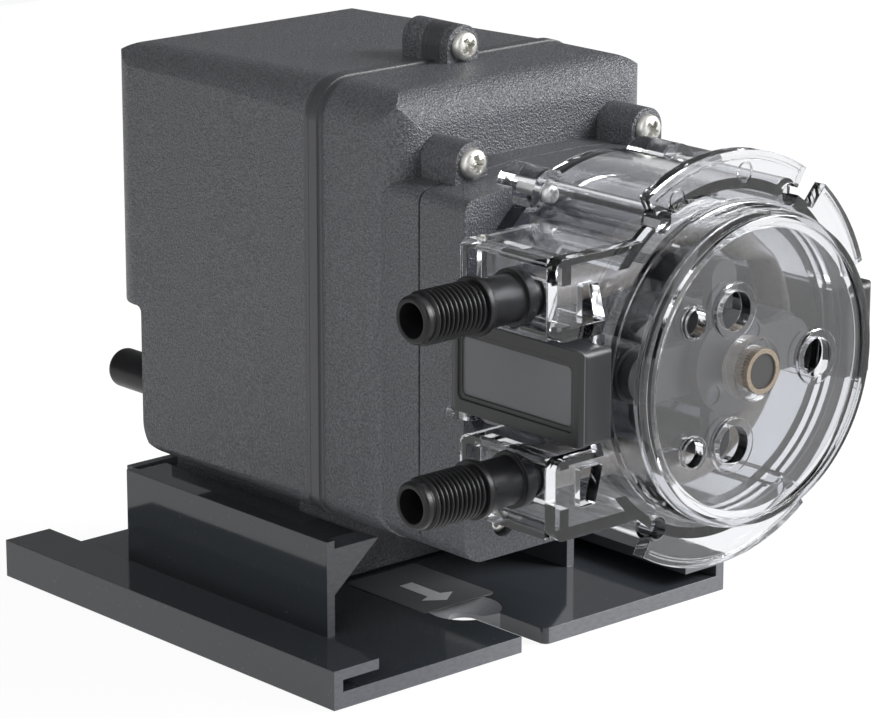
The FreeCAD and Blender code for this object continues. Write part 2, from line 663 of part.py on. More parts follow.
def housing_form(inset):
    """Motor housing's outer form, or its cavity when inset by the wall."""
    half = CASE_WIDTH / 2 - inset
    rear_half = half - HOUSING_REAR_NARROWING
    front, rear = SEAM_Y - (1 if inset else 0), HOUSING_REAR_Y - inset
    lower_rear = HOUSING_LOWER_REAR_Y - inset
    bottom, top = CASE_BOTTOM + inset, CASE_TOP - inset
    rear_top = top - HOUSING_TOP_DRAFT
    ledge = CASE_BOTTOM + OVERHANG_HEIGHT + inset
    low_corner, high_corner = CASE_BOTTOM_RADIUS - inset, CASE_TOP_RADIUS - inset
    lower = [(-half, bottom, low_corner), (half, bottom, low_corner), (half, top + 1, 0), (-half, top + 1, 0)]
    upper = [(-half, 0, 0), (half, 0, 0), (half, top, high_corner), (-half, top, high_corner)]
    side = [(front, bottom, 0), (lower_rear, bottom, HOUSING_REAR_BOTTOM_RADIUS - inset),
            (lower_rear, ledge, OVERHANG_CORNER), (rear, ledge, OVERHANG_RADIUS - inset),
            (rear, rear_top, HOUSING_REAR_TOP_RADIUS - inset), (front, top, 0)]
    corner = HOUSING_REAR_CORNER - inset
    plan = [(-half, front, 0), (half, front, 0), (rear_half, rear, corner), (-rear_half, rear, corner)]
    drafted = rounded_face(upper, lambda u, v: V(u, front, v)).extrude(V(0, rear - front, rear_top - top))
    form = drafted.common(front_prism(lower, front, rear))
    form = form.common(side_prism(side, -half - 1, half + 1))
    return form.common(plan_prism(plan, bottom - 1, top + 1))


def extension_outline(inset):
    """Gear case front and cover share this outline with a slightly arched top."""
    half = CASE_WIDTH / 2 - EXTENSION_INSET - inset
    bottom, top = CASE_BOTTOM + inset, EXTENSION_TOP - inset
    corner = EXTENSION_CORNER - inset / 2
    crown = EXTENSION_CROWN_WIDTH / 2
    return [(-half, bottom, CASE_BOTTOM_RADIUS - inset), (half, bottom, CASE_BOTTOM_RADIUS - inset),
            (half, top, corner), (crown, top + EXTENSION_ARCH, EXTENSION_ARCH_RADIUS),
            (-crown, top + EXTENSION_ARCH, EXTENSION_ARCH_RADIUS),
            (-half, top, corner)]


def gear_case_form(inset):
    """Tall rear block with soft front edges, and the lower front extension."""
    half = CASE_WIDTH / 2 - inset
    bottom, top = CASE_BOTTOM + inset, CASE_TOP - inset
    rear, front = SEAM_Y, GEAR_CASE_FRONT_Y + inset
    if inset:
        rear = rear + 1
    edge = GEAR_CASE_EDGE_RADIUS - inset
    outline = [(-half, bottom, CASE_BOTTOM_RADIUS - inset), (half, bottom, CASE_BOTTOM_RADIUS - inset),
               (half, top, CASE_TOP_RADIUS - inset), (-half, top, CASE_TOP_RADIUS - inset)]
    side = [(rear, bottom, 0), (front, bottom, 0), (front, top, edge), (rear, top, 0)]
    plan = [(-half, rear, 0), (-half, front, edge), (half, front, edge), (half, rear, 0)]
    tall = front_prism(outline, rear, front)
    tall = tall.common(side_prism(side, -half - 1, half + 1))
    tall = tall.common(plan_prism(plan, bottom - 1, top + 1))
    reach = COVER_SEAM_Y - (1 if inset else 0)
    low = front_prism(extension_outline(inset), rear - GEAR_CASE_LENGTH / 2, reach)
    return joined([tall, low])


def case_outline_ring(outer_inset, inner_inset, y0, y1):
    """Flat ring that follows the seam outline of the motor housing."""
    rings = []
    for inset in (outer_inset, inner_inset):
        half = CASE_WIDTH / 2 - inset
        bottom, top = CASE_BOTTOM + inset, CASE_TOP - inset
        outline = [(-half, bottom, CASE_BOTTOM_RADIUS - inset), (half, bottom, CASE_BOTTOM_RADIUS - inset),
                   (half, top, CASE_TOP_RADIUS - inset), (-half, top, CASE_TOP_RADIUS - inset)]
        rings.append(front_prism(outline, y0, y1))
    return rings[0].cut(rings[1])


def seam_gasket():
    middle = CASE_WALL / 2
    return case_outline_ring(middle - GASKET_SECTION / 2, middle + GASKET_SECTION / 2,
                             SEAM_Y, SEAM_Y - GASKET_SECTION)


def extension_ring(outer_inset, inner_inset, y0, y1):
    """Flat ring that follows the outline of the gear case cover."""
    outer = front_prism(extension_outline(outer_inset), y0, y1)
    return outer.cut(front_prism(extension_outline(inner_inset), y0, y1))


def cover_gasket():
    middle = CASE_WALL / 2
    return extension_ring(middle - GASKET_SECTION / 2, middle + GASKET_SECTION / 2,
                          COVER_SEAM_Y, COVER_SEAM_Y + GASKET_SECTION)


def screw_boss(x, axis, base, y0, y1):
    """Upright boss along Y with a half-round top about its screw's axis."""
    half = BOSS_WIDTH / 2
    return joined([rod(half, y0, y1, (x, axis)), block(x - half, x + half, y0, y1, base, axis)])


TOP_SCREW_Z = CASE_TOP + TOP_SCREW_HEIGHT
FRONT_SCREW_Z = EXTENSION_TOP + FRONT_SCREW_HEIGHT
LOWER_SCREW_Z = CASE_BOTTOM + LOWER_SCREW_HEIGHT
LOWER_SEAT_Y = CASE_FRONT_Y + LOWER_SCREW_SEAT


def case_screw_parts(maker):
    """Run maker for every case screw: seat, direction of the head and length."""
    ahead = (0, -1, 0)
    made = [maker((0, SEAM_Y - TOP_BOSS_FRONT, TOP_SCREW_Z), ahead, SCREW_LENGTH)]
    for x in (-BOSS_SPACING / 2, BOSS_SPACING / 2):
        made.append(maker((x, COVER_SEAM_Y - FRONT_BOSS_FRONT, FRONT_SCREW_Z), ahead, SCREW_LENGTH))
        made.append(maker((x, LOWER_SEAT_Y, LOWER_SCREW_Z), ahead, LOWER_SCREW_LENGTH))
    return made


def make_motor_housing():
    groove = case_outline_ring(-1, SEAM_GROOVE_DEPTH, SEAM_Y, SEAM_Y + SEAM_GROOVE_WIDTH)
    shell = without(housing_form(0), [housing_form(CASE_WALL), groove])
    boss = screw_boss(0, TOP_SCREW_Z, CASE_TOP - CASE_WALL / 2, SEAM_Y, SEAM_Y + TOP_BOSS_REAR)
    pillars = []
    bores = [screw_hole((0, SEAM_Y - TOP_BOSS_FRONT, TOP_SCREW_Z), (0, -1, 0))]
    for x, y in foot_screw_places():
        pillars.append(upright_rod(SCREW_HEAD_RADIUS, x, y, CASE_BOTTOM, CASE_BOTTOM + SCREW_LENGTH))
        bores.append(screw_hole((x, y, CASE_BOTTOM - FOOT_SCREW_SEAT), (0, 0, -1)))
    bores.append(rod(GLAND_SHANK_RADIUS + SEAT_CLEARANCE, HOUSING_LOWER_REAR_Y - CASE_WALL * 2,
                     HOUSING_REAR_Y, GLAND_AXIS))
    return without(joined([shell, boss] + pillars), bores)


def make_gear_case():
    rim = case_outline_ring(-SEAM_RIM_PROUD, CASE_WALL, SEAM_Y, SEAM_Y - SEAM_RIM_DEPTH)
    shell = gear_case_form(0).cut(gear_case_form(CASE_WALL))
    bosses = [screw_boss(0, TOP_SCREW_Z, CASE_TOP - CASE_WALL / 2, SEAM_Y, SEAM_Y - TOP_BOSS_FRONT)]
    for x in (-BOSS_SPACING / 2, BOSS_SPACING / 2):
        bosses.append(screw_boss(x, FRONT_SCREW_Z, EXTENSION_TOP - CASE_WALL,
                                 GEAR_CASE_FRONT_Y + CASE_WALL, COVER_SEAM_Y))
        bosses.append(screw_boss(x, LOWER_SCREW_Z, CASE_BOTTOM + CASE_WALL / 2,
                                 GEAR_CASE_FRONT_Y + CASE_WALL, COVER_SEAM_Y))
    for x, z in plate_screw_places():
        bosses.append(rod(PLATE_BOSS_RADIUS, PLATE_FRONT_Y, GEAR_CASE_FRONT_Y + CASE_WALL / 2, (x, z)))
        bosses.append(plate_boss_rib(x, z))
    bores = case_screw_parts(screw_hole)
    bores.extend(screw_hole((x, PLATE_REAR_Y, z), (0, 1, 0)) for x, z in plate_screw_places())
    return without(joined([shell, rim] + bosses), bores + [seam_gasket(), cover_gasket()])


def make_gear_case_cover():
    outer = front_prism(extension_outline(0), COVER_SEAM_Y, CASE_FRONT_Y)
    inner = front_prism(extension_outline(CASE_WALL), COVER_SEAM_Y + 1, CASE_FRONT_Y + CASE_WALL)
    groove = extension_ring(-1, SEAM_GROOVE_DEPTH, COVER_SEAM_Y, COVER_SEAM_Y - SEAM_GROOVE_WIDTH)
    pieces = [without(outer, [inner, groove])]
    pieces.append(rod(BEARING_BOSS_RADIUS, CASE_FRONT_Y, CASE_FRONT_Y + BEARING_BOSS_DEPTH))
    sockets = []
    for x in (-BOSS_SPACING / 2, BOSS_SPACING / 2):
        pieces.append(screw_boss(x, FRONT_SCREW_Z, EXTENSION_TOP - CASE_WALL,
                                 COVER_SEAM_Y, COVER_SEAM_Y - FRONT_BOSS_FRONT))
        pieces.append(screw_boss(x, LOWER_SCREW_Z, CASE_BOTTOM + CASE_WALL / 2, COVER_SEAM_Y, CASE_FRONT_Y))
        sockets.append(rod(SCREW_HEAD_RADIUS + SEAT_CLEARANCE, CASE_FRONT_Y - 1, LOWER_SEAT_Y,
                           (x, LOWER_SCREW_Z)))
    for centre in head_bolt_places():
        floor = CASE_FRONT_Y + HEAD_BOSS_REAR + SEAT_CLEARANCE
        pad = rod(HEAD_BOSS_RADIUS + CASE_WALL, CASE_FRONT_Y, floor + CASE_WALL, centre)
        pieces.append(pad.common(outer))
        sockets.append(rod(HEAD_BOSS_RADIUS + SEAT_CLEARANCE, CASE_FRONT_Y - 1, floor, centre))
    bearing_front = CASE_FRONT_Y + SEAL_LENGTH
    bores = sockets + case_screw_parts(screw_hole) + head_screw_holes()
    bores.append(rod(FRONT_BEARING_RADIUS, CASE_FRONT_Y - 1, bearing_front + FRONT_BEARING_LENGTH))
    bores.append(rod(OUTPUT_SHAFT_RADIUS + OUTPUT_SHAFT_ROOM, CASE_FRONT_Y, COVER_SEAM_Y + 1))
    return without(joined(pieces), bores)


def head_bolt_places():
    return [polar((0, HEAD_Z), HEAD_BOLT_RADIUS, angle) for angle in HEAD_BOLT_ANGLES]


def make_head_screws():
    """Long screws down the clear bosses into the gear case cover."""
    seat = CASE_FRONT_Y - HEAD_BOSS_FRONT
    screws = [joined([rod(HEAD_SCREW_HEAD_RADIUS, seat, seat - HEAD_SCREW_HEAD_HEIGHT, place),
                      rod(HEAD_SCREW_RADIUS, seat, seat + HEAD_SCREW_LENGTH, place)])
              for place in head_bolt_places()]
    return Part.makeCompound(screws)


def head_screw_holes():
    seat = CASE_FRONT_Y - HEAD_BOSS_FRONT
    tip = seat + HEAD_SCREW_LENGTH + SEAT_CLEARANCE
    return [rod(HEAD_SCREW_RADIUS + RUNNING_CLEARANCE, seat - 1, tip, place) for place in head_bolt_places()]


def make_cord_gland():
    """Strain relief with a rounded end and a shank through the rear wall."""
    start, finish = HOUSING_LOWER_REAR_Y, HOUSING_LOWER_REAR_Y + GLAND_LENGTH
    inside = start - CASE_WALL - GLAND_NUT_THICKNESS - GLAND_THREAD_BEYOND
    body = rod(GLAND_RADIUS, start, finish, GLAND_AXIS)
    rim = [edge for edge in body.Edges if edge.BoundBox.YMin > finish - 1e-6]
    body = body.makeFillet(GLAND_RADIUS - GLAND_BORE - GLAND_LIP, rim)
    flange = rod(GLAND_FLANGE_RADIUS, start, start + GLAND_FLANGE_THICKNESS, GLAND_AXIS)
    whole = joined([body, flange, rod(GLAND_SHANK_RADIUS, inside, start, GLAND_AXIS)])
    return whole.cut(rod(GLAND_BORE, inside - 1, finish + 1, GLAND_AXIS))


def make_gland_nut():
    rear = HOUSING_LOWER_REAR_Y - CASE_WALL
    front = rear - GLAND_NUT_THICKNESS
    across = GLAND_NUT_WIDTH / 2 / math.cos(math.radians(30))
    corners = [(*polar(GLAND_AXIS, across, 60 * k), 0) for k in range(6)]
    return front_prism(corners, front, rear).cut(rod(GLAND_SHANK_RADIUS, front - 1, rear + 1, GLAND_AXIS))


# Drive: motor, gears and output shaft

def centre_distance(module, teeth):
    return module * (teeth[0] + teeth[1]) / 2


MOTOR_AXIS = (0.0, MOTOR_Z)
HEAD_AXIS = (0.0, HEAD_Z)
FIRST_DISTANCE = centre_distance(FIRST_MODULE, FIRST_TEETH)
SECOND_DISTANCE = centre_distance(SECOND_MODULE, SECOND_TEETH)
THIRD_DISTANCE = centre_distance(THIRD_MODULE, THIRD_TEETH)
FIRST_AXIS_X = -FIRST_GEAR_SIDE_SHARE * CASE_WIDTH / 2
FIRST_AXIS = (FIRST_AXIS_X, MOTOR_Z + math.sqrt(FIRST_DISTANCE ** 2 - FIRST_AXIS_X ** 2))


def second_axis():
    """Where the second gear meshes with both the first gear's pinion and the output gear."""
    dx, dz = FIRST_AXIS[0] - HEAD_AXIS[0], FIRST_AXIS[1] - HEAD_AXIS[1]
    span = math.hypot(dx, dz)
    bearing = math.degrees(math.atan2(dz, dx))
    cosine = (THIRD_DISTANCE ** 2 + span ** 2 - SECOND_DISTANCE ** 2) / (2 * THIRD_DISTANCE * span)
    return polar(HEAD_AXIS, THIRD_DISTANCE, bearing - math.degrees(math.acos(cosine)))


SECOND_AXIS = second_axis()


def bearing_between(start, finish):
    return math.degrees(math.atan2(finish[1] - start[1], finish[0] - start[0]))


def involute_angle(radius, base):
    """Polar angle that an involute has gained where it reaches a radius."""
    ratio = math.sqrt(max((radius / base) ** 2 - 1, 0))
    return ratio - math.atan(ratio)


def toothed_prism(module, teeth, phase, centre, y0, y1):
    """Spur gear body; a tooth's middle points at phase degrees."""
    pitch = module * teeth / 2
    base = pitch * math.cos(math.radians(PRESSURE_ANGLE))
    tip, root = pitch + ADDENDUM * module, pitch - DEDENDUM * module
    half_at_pitch = (math.pi * module / 2 - BACKLASH) / 2 / pitch
    at_base = half_at_pitch + involute_angle(pitch, base)
    low = max(base, root)
    levels = [low + (tip - low) * step / 3 for step in range(4)]
    flank = [(radius, at_base - involute_angle(radius, base)) for radius in levels]
    if root < low:
        flank.insert(0, (root, at_base))
    corners = []
    for tooth in range(teeth):
        middle = math.radians(phase + 360.0 * tooth / teeth)
        for radius, half in flank:
            corners.append((radius, middle - half))
        for radius, half in reversed(flank):
            corners.append((radius, middle + half))
    points = [V(centre[0] + r * math.cos(a), y0, centre[1] + r * math.sin(a)) for r, a in corners]
    face = Part.Face(Part.makePolygon(points + [points[0]]))
    return face.extrude(V(0, y1 - y0, 0))


def mesh_phase(teeth, from_axis, to_axis):
    """Phase that puts a tooth gap on the line from one axis to its driver's axis."""
    return bearing_between(from_axis, to_axis) + 180.0 / teeth


FIRST_GEAR_REAR_Y = PLATE_FRONT_Y - GEAR_PLATE_GAP
SECOND_GEAR_REAR_Y = FIRST_GEAR_REAR_Y - GEAR_STEP
THIRD_GEAR_REAR_Y = SECOND_GEAR_REAR_Y - GEAR_STEP - GEAR_STACK_GAP
POST_HUB_RADIUS = POST_RADIUS + POST_HUB_WALL


def make_motor_pinion():
    phase = bearing_between(MOTOR_AXIS, FIRST_AXIS)
    rear, front = FIRST_GEAR_REAR_Y + PINION_OVERHANG, FIRST_GEAR_REAR_Y - GEAR_FACE - PINION_OVERHANG
    body = toothed_prism(FIRST_MODULE, FIRST_TEETH[0], phase, MOTOR_AXIS, rear, front)
    return body.cut(rod(MOTOR_SHAFT_RADIUS, rear, front, MOTOR_AXIS))


def pierced(gear, axis, y0, y1, web_radius, rim_inner):
    """Six lightening holes in a gear's web."""
    middle = (web_radius + rim_inner) / 2
    hole = (rim_inner - web_radius) / 2 - GEAR_WEB
    return without(gear, [rod(hole, y0, y1, polar(axis, middle, 60 * k)) for k in range(6)])


def make_first_gear():
    front = FIRST_GEAR_REAR_Y - GEAR_FACE
    phase = mesh_phase(FIRST_TEETH[1], FIRST_AXIS, MOTOR_AXIS)
    gear = toothed_prism(FIRST_MODULE, FIRST_TEETH[1], phase, FIRST_AXIS, FIRST_GEAR_REAR_Y, front)
    rim = FIRST_MODULE * FIRST_TEETH[1] / 2 - GEAR_RIM
    gear = pierced(gear, FIRST_AXIS, FIRST_GEAR_REAR_Y, front, POST_HUB_RADIUS + POST_HUB_MARGIN, rim)
    return gear.cut(rod(POST_HUB_RADIUS, FIRST_GEAR_REAR_Y, front, FIRST_AXIS))


def stepped_pinion(module, teeth, phase, axis, rear, front):
    """Pinion with a long plain hub that carries the larger gear behind it."""
    hub = rod(POST_HUB_RADIUS, HUB_START_Y, rear, axis)
    body = joined([hub, toothed_prism(module, teeth, phase, axis, rear, front)])
    return body.cut(rod(POST_RADIUS + RUNNING_CLEARANCE, HUB_START_Y, front, axis))


def make_first_pinion():
    phase = bearing_between(FIRST_AXIS, SECOND_AXIS)
    rear, front = SECOND_GEAR_REAR_Y + PINION_OVERHANG, SECOND_GEAR_REAR_Y - GEAR_FACE - PINION_OVERHANG
    return stepped_pinion(SECOND_MODULE, SECOND_TEETH[0], phase, FIRST_AXIS, rear, front)


def make_second_gear():
    front = SECOND_GEAR_REAR_Y - GEAR_FACE
    phase = mesh_phase(SECOND_TEETH[1], SECOND_AXIS, FIRST_AXIS)
    gear = toothed_prism(SECOND_MODULE, SECOND_TEETH[1], phase, SECOND_AXIS, SECOND_GEAR_REAR_Y, front)
    rim = SECOND_MODULE * SECOND_TEETH[1] / 2 - GEAR_RIM
    gear = pierced(gear, SECOND_AXIS, SECOND_GEAR_REAR_Y, front, POST_HUB_RADIUS + POST_HUB_MARGIN, rim)
    return gear.cut(rod(POST_HUB_RADIUS, SECOND_GEAR_REAR_Y, front, SECOND_AXIS))


def make_second_pinion():
    phase = bearing_between(SECOND_AXIS, HEAD_AXIS)
    rear = THIRD_GEAR_REAR_Y + PINION_OVERHANG
    front = THIRD_GEAR_REAR_Y - OUTPUT_GEAR_FACE - PINION_OVERHANG
    return stepped_pinion(THIRD_MODULE, THIRD_TEETH[0], phase, SECOND_AXIS, rear, front)


def make_post(axis, front):
    """Gear post, pressed in the motor plate."""
    return rod(POST_RADIUS, PLATE_REAR_Y, front - CLIP_THICKNESS * 2, axis)


def first_hub_front():
    return SECOND_GEAR_REAR_Y - GEAR_FACE - PINION_OVERHANG


def second_hub_front():
    return THIRD_GEAR_REAR_Y - OUTPUT_GEAR_FACE - PINION_OVERHANG


def make_gear_clips():
    """Retaining rings that keep the two gear clusters on their posts."""
    clips = []
    for axis, front in ((FIRST_AXIS, first_hub_front()), (SECOND_AXIS, second_hub_front())):
        rear = front - SWING_CLEARANCE
        clips.append(ring(CLIP_RADIUS, POST_RADIUS, rear, rear - CLIP_THICKNESS, axis))
    return Part.makeCompound(clips)


def flatted_rod(y0, y1, clearance=0.0):
    """The output shaft's D section."""
    body = rod(OUTPUT_SHAFT_RADIUS + clearance, y0, y1)
    span = OUTPUT_SHAFT_RADIUS + clearance + 1
    low, high = min(y0, y1), max(y0, y1)
    cut = block(-span, span, low, high, HEAD_Z + OUTPUT_SHAFT_FLAT + clearance, HEAD_Z + span)
    return body.cut(cut)


def make_output_gear():
    front = THIRD_GEAR_REAR_Y - OUTPUT_GEAR_FACE
    phase = mesh_phase(THIRD_TEETH[1], HEAD_AXIS, SECOND_AXIS)
    gear = toothed_prism(THIRD_MODULE, THIRD_TEETH[1], phase, HEAD_AXIS, THIRD_GEAR_REAR_Y, front)
    rim = THIRD_MODULE * THIRD_TEETH[1] / 2 - OUTPUT_GEAR_RIM
    web = OUTPUT_HUB_RADIUS + OUTPUT_HUB_MARGIN
    gear = pierced(gear, HEAD_AXIS, THIRD_GEAR_REAR_Y, front, web, rim)
    hub_rear, hub_front = THIRD_GEAR_REAR_Y + OUTPUT_HUB_REAR, front - OUTPUT_HUB_FRONT
    hub = rod(OUTPUT_HUB_RADIUS, hub_rear, hub_front)
    return joined([gear, hub]).cut(flatted_rod(hub_rear + 1, hub_front - 1))


def make_output_shaft():
    gear_rear = THIRD_GEAR_REAR_Y + OUTPUT_HUB_REAR
    gear_front = THIRD_GEAR_REAR_Y - OUTPUT_GEAR_FACE - OUTPUT_HUB_FRONT
    return joined([
        rod(OUTPUT_SHAFT_RADIUS, PLATE_REAR_Y, gear_rear),
        flatted_rod(gear_rear, gear_front),
        rod(OUTPUT_SHAFT_RADIUS, gear_front, CARRIER_REAR_Y),
        flatted_rod(CARRIER_REAR_Y, CARRIER_FRONT_Y),
    ])


def plate_screw_places():
    """Motor plate screws, near the corners of the gear case."""
    half = CASE_WIDTH / 2 - CASE_WALL - PLATE_BOSS_INSET
    low = CASE_BOTTOM + CASE_WALL + PLATE_BOSS_INSET
    high = CASE_TOP - CASE_WALL - PLATE_BOSS_INSET
    return [(sx * half, z) for sx in (-1, 1) for z in (low, high)]


def plate_boss_rib(x, z):
    """Rib that ties a plate boss to the nearest side wall of the gear case."""
    wall = math.copysign(CASE_WIDTH / 2 - CASE_WALL / 2, x)
    front = GEAR_CASE_FRONT_Y + GEAR_CASE_EDGE_RADIUS
    half = PLATE_RIB_THICKNESS / 2
    return block(x, wall, PLATE_FRONT_Y - 1, front, z - half, z + half)


def make_motor_plate():
    inset = CASE_WALL + SEAT_CLEARANCE
    half = CASE_WIDTH / 2 - inset
    bottom, top = CASE_BOTTOM + inset, CASE_TOP - inset
    corner = CASE_TOP_RADIUS
    outline = [(-half, bottom, corner), (half, bottom, corner), (half, top, corner), (-half, top, corner)]
    plate = front_prism(outline, PLATE_REAR_Y, PLATE_FRONT_Y)
    bores = [
        rod(POST_RADIUS, PLATE_REAR_Y, PLATE_FRONT_Y, FIRST_AXIS),
        rod(POST_RADIUS, PLATE_REAR_Y, PLATE_FRONT_Y, SECOND_AXIS),
        rod(OUTPUT_REAR_BUSH_RADIUS, PLATE_REAR_Y, PLATE_FRONT_Y, HEAD_AXIS),
        rod(MOTOR_BEARING_RADIUS, PLATE_REAR_Y, PLATE_FRONT_Y, MOTOR_AXIS),
    ]
    bores.extend(rod(MOTOR_POST_RADIUS, PLATE_REAR_Y, PLATE_FRONT_Y, place) for place in motor_post_places())
    bores.extend(screw_hole((x, PLATE_REAR_Y, z), (0, 1, 0)) for x, z in plate_screw_places())
    return without(plate, bores)


def make_plate_screws():
    return Part.makeCompound([screw_at((x, PLATE_REAR_Y, z), (0, 1, 0)) for x, z in plate_screw_places()])


STATOR_FRONT_Y = PLATE_REAR_Y + STATOR_SETBACK
STATOR_REAR_Y = STATOR_FRONT_Y + STATOR_LENGTH
REAR_BRACKET_Y = STATOR_REAR_Y + REAR_BRACKET_GAP
FAN_FRONT_Y = REAR_BRACKET_Y + REAR_BRACKET_THICKNESS + FAN_GAP
FAN_REAR_Y = FAN_FRONT_Y + FAN_WIDTH


def motor_post_places():
    reach = STATOR_SIDE / 2 - MOTOR_POST_INSET
    return [(sx * reach, MOTOR_Z + sz * reach) for sx in (-1, 1) for sz in (-1, 1)]


def coil_room():
    """Radii between which a coil sits round its pole."""
    inner = ROTOR_RADIUS + AIR_GAP + POLE_SHOE_THICKNESS
    outer = STATOR_SIDE / 2 - YOKE_THICKNESS
    return inner, outer


def make_stator():
    """Laminated stack with salient poles."""
    half = STATOR_SIDE / 2
    low, high = MOTOR_Z - half, MOTOR_Z + half
    corner = STATOR_CORNER
    outline = [(-half, low, corner), (half, low, corner), (half, high, corner), (-half, high, corner)]
    stack = front_prism(outline, STATOR_FRONT_Y, STATOR_REAR_Y)
    inner, outer = coil_room()
    window = ring(outer, inner, STATOR_FRONT_Y, STATOR_REAR_Y, MOTOR_AXIS)
    poles = []
    gaps = []
    for index in range(POLE_COUNT):
        turn = 360.0 * index / POLE_COUNT
        neck = block(0, outer + 1, STATOR_FRONT_Y, STATOR_REAR_Y,
                     MOTOR_Z - POLE_WIDTH / 2, MOTOR_Z + POLE_WIDTH / 2)
        neck.rotate(V(0, 0, MOTOR_Z), V(0, 1, 0), turn)
        poles.append(neck)
        gap = block(0, inner + AIR_GAP, STATOR_FRONT_Y, STATOR_REAR_Y,
                    MOTOR_Z - POLE_GAP / 2, MOTOR_Z + POLE_GAP / 2)
        gap.rotate(V(0, 0, MOTOR_Z), V(0, 1, 0), turn + 180.0 / POLE_COUNT)
        gaps.append(gap)
    bores = [without(window, poles), rod(ROTOR_RADIUS + AIR_GAP, STATOR_FRONT_Y, STATOR_REAR_Y, MOTOR_AXIS)]
    bores.extend(gaps)
    bores.extend(rod(MOTOR_POST_RADIUS, STATOR_FRONT_Y, STATOR_REAR_Y, place)
                 for place in motor_post_places())
    return without(stack, bores)


def make_coils():
    """One wound coil round each pole."""
    inner, outer = coil_room()
    start = inner + 2 * COIL_CLEARANCE
    near = POLE_WIDTH / 2 + COIL_CLEARANCE
    room = math.sqrt(max((inner + COIL_CLEARANCE) ** 2 / 2, near ** 2)) + COIL_ROOM_SHARE
    far = min(near + COIL_THICKNESS, room)
    reach = min(math.sqrt(outer ** 2 - far ** 2) - COIL_CLEARANCE, outer - COIL_YOKE_GAP)
    coils = []
    for index in range(POLE_COUNT):
        outside = block(start, reach, STATOR_FRONT_Y - COIL_OVERHANG, STATOR_REAR_Y + COIL_OVERHANG,
                        MOTOR_Z - far, MOTOR_Z + far)
        neck = block(0, outer, STATOR_FRONT_Y - COIL_CLEARANCE, STATOR_REAR_Y + COIL_CLEARANCE,
                     MOTOR_Z - near, MOTOR_Z + near)
        coil = outside.cut(neck)
        coil.rotate(V(0, 0, MOTOR_Z), V(0, 1, 0), 360.0 * index / POLE_COUNT)
        coils.append(coil)
    return Part.makeCompound(coils)


def make_rotor():
    """Rotor stack with a conducting ring at each end."""
    front, rear = STATOR_FRONT_Y - END_RING_THICKNESS, STATOR_REAR_Y + END_RING_THICKNESS
    core = rod(ROTOR_RADIUS, STATOR_FRONT_Y, STATOR_REAR_Y, MOTOR_AXIS)
    outer = ROTOR_RADIUS - END_RING_INSET
    rings = ring(outer, outer - END_RING_WIDTH, front, rear, MOTOR_AXIS)
    return joined([core, rings]).cut(rod(MOTOR_SHAFT_RADIUS, front, rear, MOTOR_AXIS))


def make_motor_shaft():
    front = FIRST_GEAR_REAR_Y - GEAR_FACE - PINION_OVERHANG
    return rod(MOTOR_SHAFT_RADIUS, front, FAN_REAR_Y + MOTOR_SHAFT_TAIL, MOTOR_AXIS)


def make_front_motor_bearing():
    front, rear = PLATE_FRONT_Y, PLATE_FRONT_Y + MOTOR_BEARING_LENGTH
    return ring(MOTOR_BEARING_RADIUS, MOTOR_SHAFT_RADIUS + RUNNING_CLEARANCE, front, rear, MOTOR_AXIS)


def make_rear_motor_bearing():
    front = REAR_BRACKET_Y - MOTOR_BEARING_SETBACK
    rear = front + MOTOR_BEARING_LENGTH
    return ring(MOTOR_BEARING_RADIUS, MOTOR_SHAFT_RADIUS + RUNNING_CLEARANCE, front, rear, MOTOR_AXIS)


def make_motor_bracket():
    """Cross-shaped rear bracket that carries the motor's rear bearing."""
    front, rear = REAR_BRACKET_Y, REAR_BRACKET_Y + REAR_BRACKET_THICKNESS
    places = motor_post_places()
    arms = [rod(MOTOR_BEARING_RADIUS + REAR_BRACKET_HUB_WALL, front, rear, MOTOR_AXIS)]
    half = REAR_BRACKET_ARM_WIDTH / 2
    for place in places:
        span = math.hypot(place[0] - MOTOR_AXIS[0], place[1] - MOTOR_AXIS[1])
        arm = block(0, span, front, rear, MOTOR_Z - half, MOTOR_Z + half)
        arm.rotate(V(0, 0, MOTOR_Z), V(0, -1, 0), bearing_between(MOTOR_AXIS, place))
        arms.append(arm)
        arms.append(rod(MOTOR_POST_RADIUS + REAR_BRACKET_EYE_WALL, front, rear, place))
    bores = [rod(MOTOR_POST_RADIUS, front, rear, place) for place in places]
    bores.append(rod(MOTOR_BEARING_RADIUS, front, rear, MOTOR_AXIS))
    return without(joined(arms), bores)


def make_motor_posts():
    """Tie rods with nuts through the motor plate, the stack and the rear bracket."""
    rods = []
    nut_front = REAR_BRACKET_Y + REAR_BRACKET_THICKNESS
    nut_rear = nut_front + MOTOR_NUT_THICKNESS
    sleeve = MOTOR_POST_RADIUS + MOTOR_POST_SLEEVE
    for place in motor_post_places():
        corners = [(*polar(place, MOTOR_NUT_RADIUS, 60 * k), 0) for k in range(6)]
        rods.append(joined([
            rod(MOTOR_POST_RADIUS, PLATE_FRONT_Y, nut_rear, place),
            front_prism(corners, nut_front, nut_rear),
            rod(sleeve, PLATE_REAR_Y, STATOR_FRONT_Y, place),
            rod(sleeve, STATOR_REAR_Y, REAR_BRACKET_Y, place),
        ]))
    return Part.makeCompound(rods)


